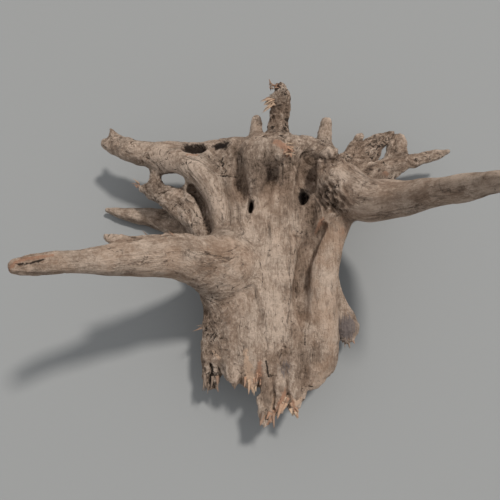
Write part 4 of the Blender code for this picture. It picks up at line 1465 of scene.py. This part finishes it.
@dataclass
class Splinters:
    """Strands that stand out of the broken places: the lip, the knob and the ends of stubs and roots."""

    rings: int = 6
    sides: int = 5
    flatness: float = 0.35
    sunk: float = 0.25
    seed: int = 23
    tufts: tuple[Tuft, ...] = (
        Tuft((0.017, 0.147, 0.216), (0.008, 0.012, 0.007), (0.75, -0.35, 0.35), 0.3, 26, 0.016, 0.0028, 0.6),
        Tuft((-0.004, 0.272, 0.18), (0.006, 0.012, 0.006), (-0.85, -0.42, 0.05), 0.2, 16, 0.03, 0.0024, 0.75),
        Tuft((0.000, 0.298, 0.19), (0.008, 0.006, 0.005), (-0.6, 0.3, 0.5), 0.4, 16, 0.014, 0.002, 0.45),
        Tuft((-0.046, -0.236, 0.1), (0.01, 0.008, 0.006), (0.05, -1.0, 0.0), 0.1, 10, 0.02, 0.0034, 0.8),
        Tuft((-0.03, -0.226, 0.102), (0.006, 0.006, 0.006), (0.0, -1.0, 0.0), 0.1, 7, 0.016, 0.003, 0.5),
        Tuft((-0.016, -0.29, 0.094), (0.01, 0.01, 0.004), (-0.2, -1.0, 0.0), 0.1, 6, 0.018, 0.005, 0.4),
        Tuft((0.012, -0.262, 0.096), (0.01, 0.012, 0.006), (-0.45, -1.0, 0.05), 0.12, 6, 0.026, 0.005, 0.55),
        Tuft((0.03, -0.272, 0.092), (0.008, 0.01, 0.005), (0.3, -1.0, 0.0), 0.14, 5, 0.018, 0.0052, 0.5),
        Tuft((-0.11, -0.222, 0.066), (0.014, 0.012, 0.01), (0.0, -1.0, -0.1), 0.08, 16, 0.026, 0.003, 0.18),
        Tuft((0.06, -0.224, 0.084), (0.03, 0.008, 0.006), (0.1, -1.0, -0.1), 0.15, 12, 0.014, 0.003, 0.2),
        Tuft((0.13, -0.152, 0.062), (0.014, 0.008, 0.006), (0.1, -1.0, 0.0), 0.18, 10, 0.016, 0.0034, 0.15),
        Tuft((0.256, 0.262, 0.068), (0.012, 0.005, 0.004), (0.1, 1.0, 0.0), 0.25, 8, 0.012, 0.0026, 0.3),
        Tuft((-0.122, -0.134, 0.088), (0.003, 0.004, 0.003), (-1.0, -0.1, 0.2), 0.18, 3, 0.028, 0.0018, 0.3),
        Tuft((-0.196, -0.026, 0.232), (0.05, 0.006, 0.01), (-0.85, 0.3, 0.3), 0.2, 14, 0.016, 0.0018, 0.45),
        Tuft((-0.262, 0.148, 0.078), (0.008, 0.006, 0.004), (-0.9, 0.4, 0.0), 0.25, 10, 0.014, 0.0015, 0.55),
    )

    def strands(self) -> tuple[Array, Array, Array]:
        """Draw the strands.

        With t from nought to one along a strand, its centre is root + way * length * (t - 1/4) + sag * t^2,
        so a quarter of it is sunk in the wood, and its half-width is half * (1.02 - t)^0.6. Each strand has
        its own root, way, length and sag.

        Returns:
            Centres by strand and ring, half-widths by strand and ring, and a shade for each strand.
        """
        rng = np.random.default_rng(self.seed)
        t = np.linspace(0.0, 1.0, self.rings)
        centres, halves, shades = [], [], []
        for tuft in self.tufts:
            n = tuft.count
            root = np.array(tuft.root) + rng.uniform(-1, 1, (n, 3)) * tuft.spread
            way = unit(np.array(tuft.way) + rng.normal(0, tuft.fan, (n, 3)))
            length = tuft.length * rng.uniform(0.45, 1.15, (n, 1, 1))
            sag = rng.normal(0, 0.12, (n, 1, 3)) * length
            part = t[None, :, None]
            centres.append(root[:, None] + way[:, None] * length * (part - self.sunk) + sag * part**2)
            halves.append(tuft.half * rng.uniform(0.5, 1.2, (n, 1)) * (1.02 - t[None]) ** 0.6)
            shades.append(np.clip(tuft.shade + rng.normal(0, 0.16, n), 0, 1))
        return np.vstack(centres), np.vstack(halves), np.concatenate(shades)

    def build(self) -> bpy.types.Object:
        """Carry a flat oval along every strand and close both ends.

        Returns:
            The finished piece, dressed and riding on the root.
        """
        centre, half, shade = self.strands()
        n, rings, sides = len(centre), self.rings, self.sides
        way = unit(centre[:, -1] - centre[:, 0])
        flat = unit(np.cross(way, (0.13, 0.21, 0.97)))
        thin = np.cross(way, flat)
        turn = np.linspace(0, 2 * np.pi, sides, endpoint=False)
        broad = np.cos(turn)[None, :, None] * flat[:, None]
        slim = self.flatness * np.sin(turn)[None, :, None] * thin[:, None]
        points = centre[:, :, None] + half[:, :, None, None] * (broad + slim)[:, None]
        ring = np.arange(rings - 1)[:, None] * sides
        side = np.arange(sides)[None]
        after = (side + 1) % sides
        corners = [ring + side, ring + after, ring + sides + after, ring + sides + side]
        quad = np.stack(corners, axis=-1).reshape(-1, 4)
        shift = (np.arange(n) * rings * sides)[:, None, None]
        quads = (quad[None] + shift).reshape(-1, 4)[:, ::-1]
        low = (np.arange(sides)[None] + shift[:, :, 0]).tolist()
        high = (np.arange(sides)[None, ::-1] + (rings - 1) * sides + shift[:, :, 0]).tolist()
        data = bpy.data.meshes.new("torn_strands")
        data.from_pydata(points.reshape(-1, 3).tolist(), [], quads.tolist() + low + high)
        data.polygons.foreach_set("use_smooth", np.ones(len(data.polygons), bool))
        layer = data.attributes.new("shade", "FLOAT", "POINT")
        layer.data.foreach_set("value", np.repeat(shade, rings * sides).astype(np.float32))
        data.materials.append(TornFibre().material())
        obj = bpy.data.objects.new("torn_strands", data)
        bpy.context.scene.collection.objects.link(obj)
        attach(obj, BODY)
        return obj


@dataclass
class Root:
    """The whole root: its limbs, wounds and finish."""

    stem: Stem = field(default_factory=Stem)
    crown: Crown = field(default_factory=Crown)
    arms: Arms = field(default_factory=Arms)
    low: LowRoots = field(default_factory=LowRoots)
    feet: Feet = field(default_factory=Feet)
    wounds: Wounds = field(default_factory=Wounds)
    grain: Relief = Relief()

    def build(self) -> Skin:
        """Melt the limbs together, carve the wounds, and raise the grain.

        Returns:
            The finished skin.
        """
        groups = (self.stem, self.crown, self.arms, self.low, self.feet)
        courses = [limb.course() for group in groups for limb in group.limbs()]
        low, high = (np.array(corner) for corner in CAD_BOX)
        lattice = Lattice.round_box(low - LATTICE_PAD, high + LATTICE_PAD, LATTICE_STEP)
        for course in courses:
            lattice.add(course)
        for cut in self.wounds.cuts():
            lattice.carve(cut.course(), cut.kind.value)
        lattice.soften()
        lattice.values += DRAWN_IN
        lattice.ground()
        skin = Skin(*lattice.skin())
        skin.points = skin.spread(skin.points, times=2, share=0.5)
        skin.follow(courses)
        skin.mark(self.wounds.marks())
        skin.relief(self.grain)
        skin.hollows()
        skin.settle()
        return skin

    def dress(self, skin: Skin, effects: Effects) -> bpy.types.Object:
        """Make the piece and give it its wood."""
        obj = skin.mesh("root_wood")
        obj.data.materials.append(WeatheredWood().material(effects))
        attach(obj, BODY)
        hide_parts(NODE)
        return obj


@dataclass(frozen=True)
class Studio:
    """The plain pale floor, the soft light and the camera."""

    camera_at: tuple[float, float, float] = (-0.045, -0.323, 1.0)
    camera_to: tuple[float, float, float] = (-0.045, 0.041, 0.0)
    lens: float = 37.44
    sun_way: tuple[float, float, float] = (-0.329, -0.306, -0.893)
    sun_angle: float = 7.0
    sun_strength: float = 2.35
    sky: tuple[float, float, float, float] = (0.97, 0.99, 1.0, 1.0)
    sky_strength: float = 0.56
    floor_colour: tuple[float, float, float, float] = (0.273, 0.278, 0.281, 1.0)
    floor_half: float = 3.0
    floor_level: float = -0.0004

    def floor(self) -> None:
        """Lay the floor just under the feet."""
        half, level = self.floor_half, self.floor_level
        corners = [(x * half, y * half, level) for x, y in ((-1, -1), (1, -1), (1, 1), (-1, 1))]
        data = bpy.data.meshes.new("floor")
        data.from_pydata(corners, [], [(0, 1, 2, 3)])
        made = bpy.data.materials.new("floor_grey")
        made.use_nodes = True
        shell = made.node_tree.nodes["Principled BSDF"]
        shell.inputs["Base Color"].default_value = self.floor_colour
        shell.inputs["Roughness"].default_value = 0.85
        data.materials.append(made)
        obj = bpy.data.objects.new("floor", data)
        bpy.context.scene.collection.objects.link(obj)

    def light(self) -> None:
        """One broad lamp from the right and behind, and an even sky."""
        lamp = bpy.data.lights.new("lamp", "SUN")
        lamp.energy = self.sun_strength
        lamp.angle = math.radians(self.sun_angle)
        lamp.color = (1.0, 0.96, 0.90)
        obj = bpy.data.objects.new("lamp", lamp)
        obj.rotation_euler = Vector(self.sun_way).to_track_quat("-Z", "Y").to_euler()
        bpy.context.scene.collection.objects.link(obj)
        world = bpy.data.worlds.new("studio")
        world.use_nodes = True
        sky = world.node_tree.nodes["Background"]
        sky.inputs["Color"].default_value = self.sky
        sky.inputs["Strength"].default_value = self.sky_strength
        bpy.context.scene.world = world

    def camera(self) -> None:
        """Set the camera."""
        data = bpy.data.cameras.new("camera")
        data.lens = self.lens
        obj = bpy.data.objects.new("camera", data)
        obj.location = self.camera_at
        way = Vector(self.camera_to) - Vector(self.camera_at)
        obj.rotation_euler = way.to_track_quat("-Z", "Y").to_euler()
        bpy.context.scene.collection.objects.link(obj)
        bpy.context.scene.camera = obj
        bpy.context.scene.view_settings.view_transform = "Standard"

    def build(self) -> None:
        """Set the whole studio up."""
        self.floor()
        self.light()
        self.camera()


def main() -> None:
    """Build the root and the studio."""
    logging.basicConfig(level=logging.INFO)
    effects = Effects()
    root = Root()
    skin = root.build()
    LOG.info("root skin: %d points, %d faces", len(skin.points), len(skin.faces))
    obj = root.dress(skin, effects)
    LOG.info("built %s", obj.name)
    strands = Splinters().build()
    LOG.info("built %s: %d faces", strands.name, len(strands.data.polygons))
    Studio().build()


if __name__ == "__main__":
    main()
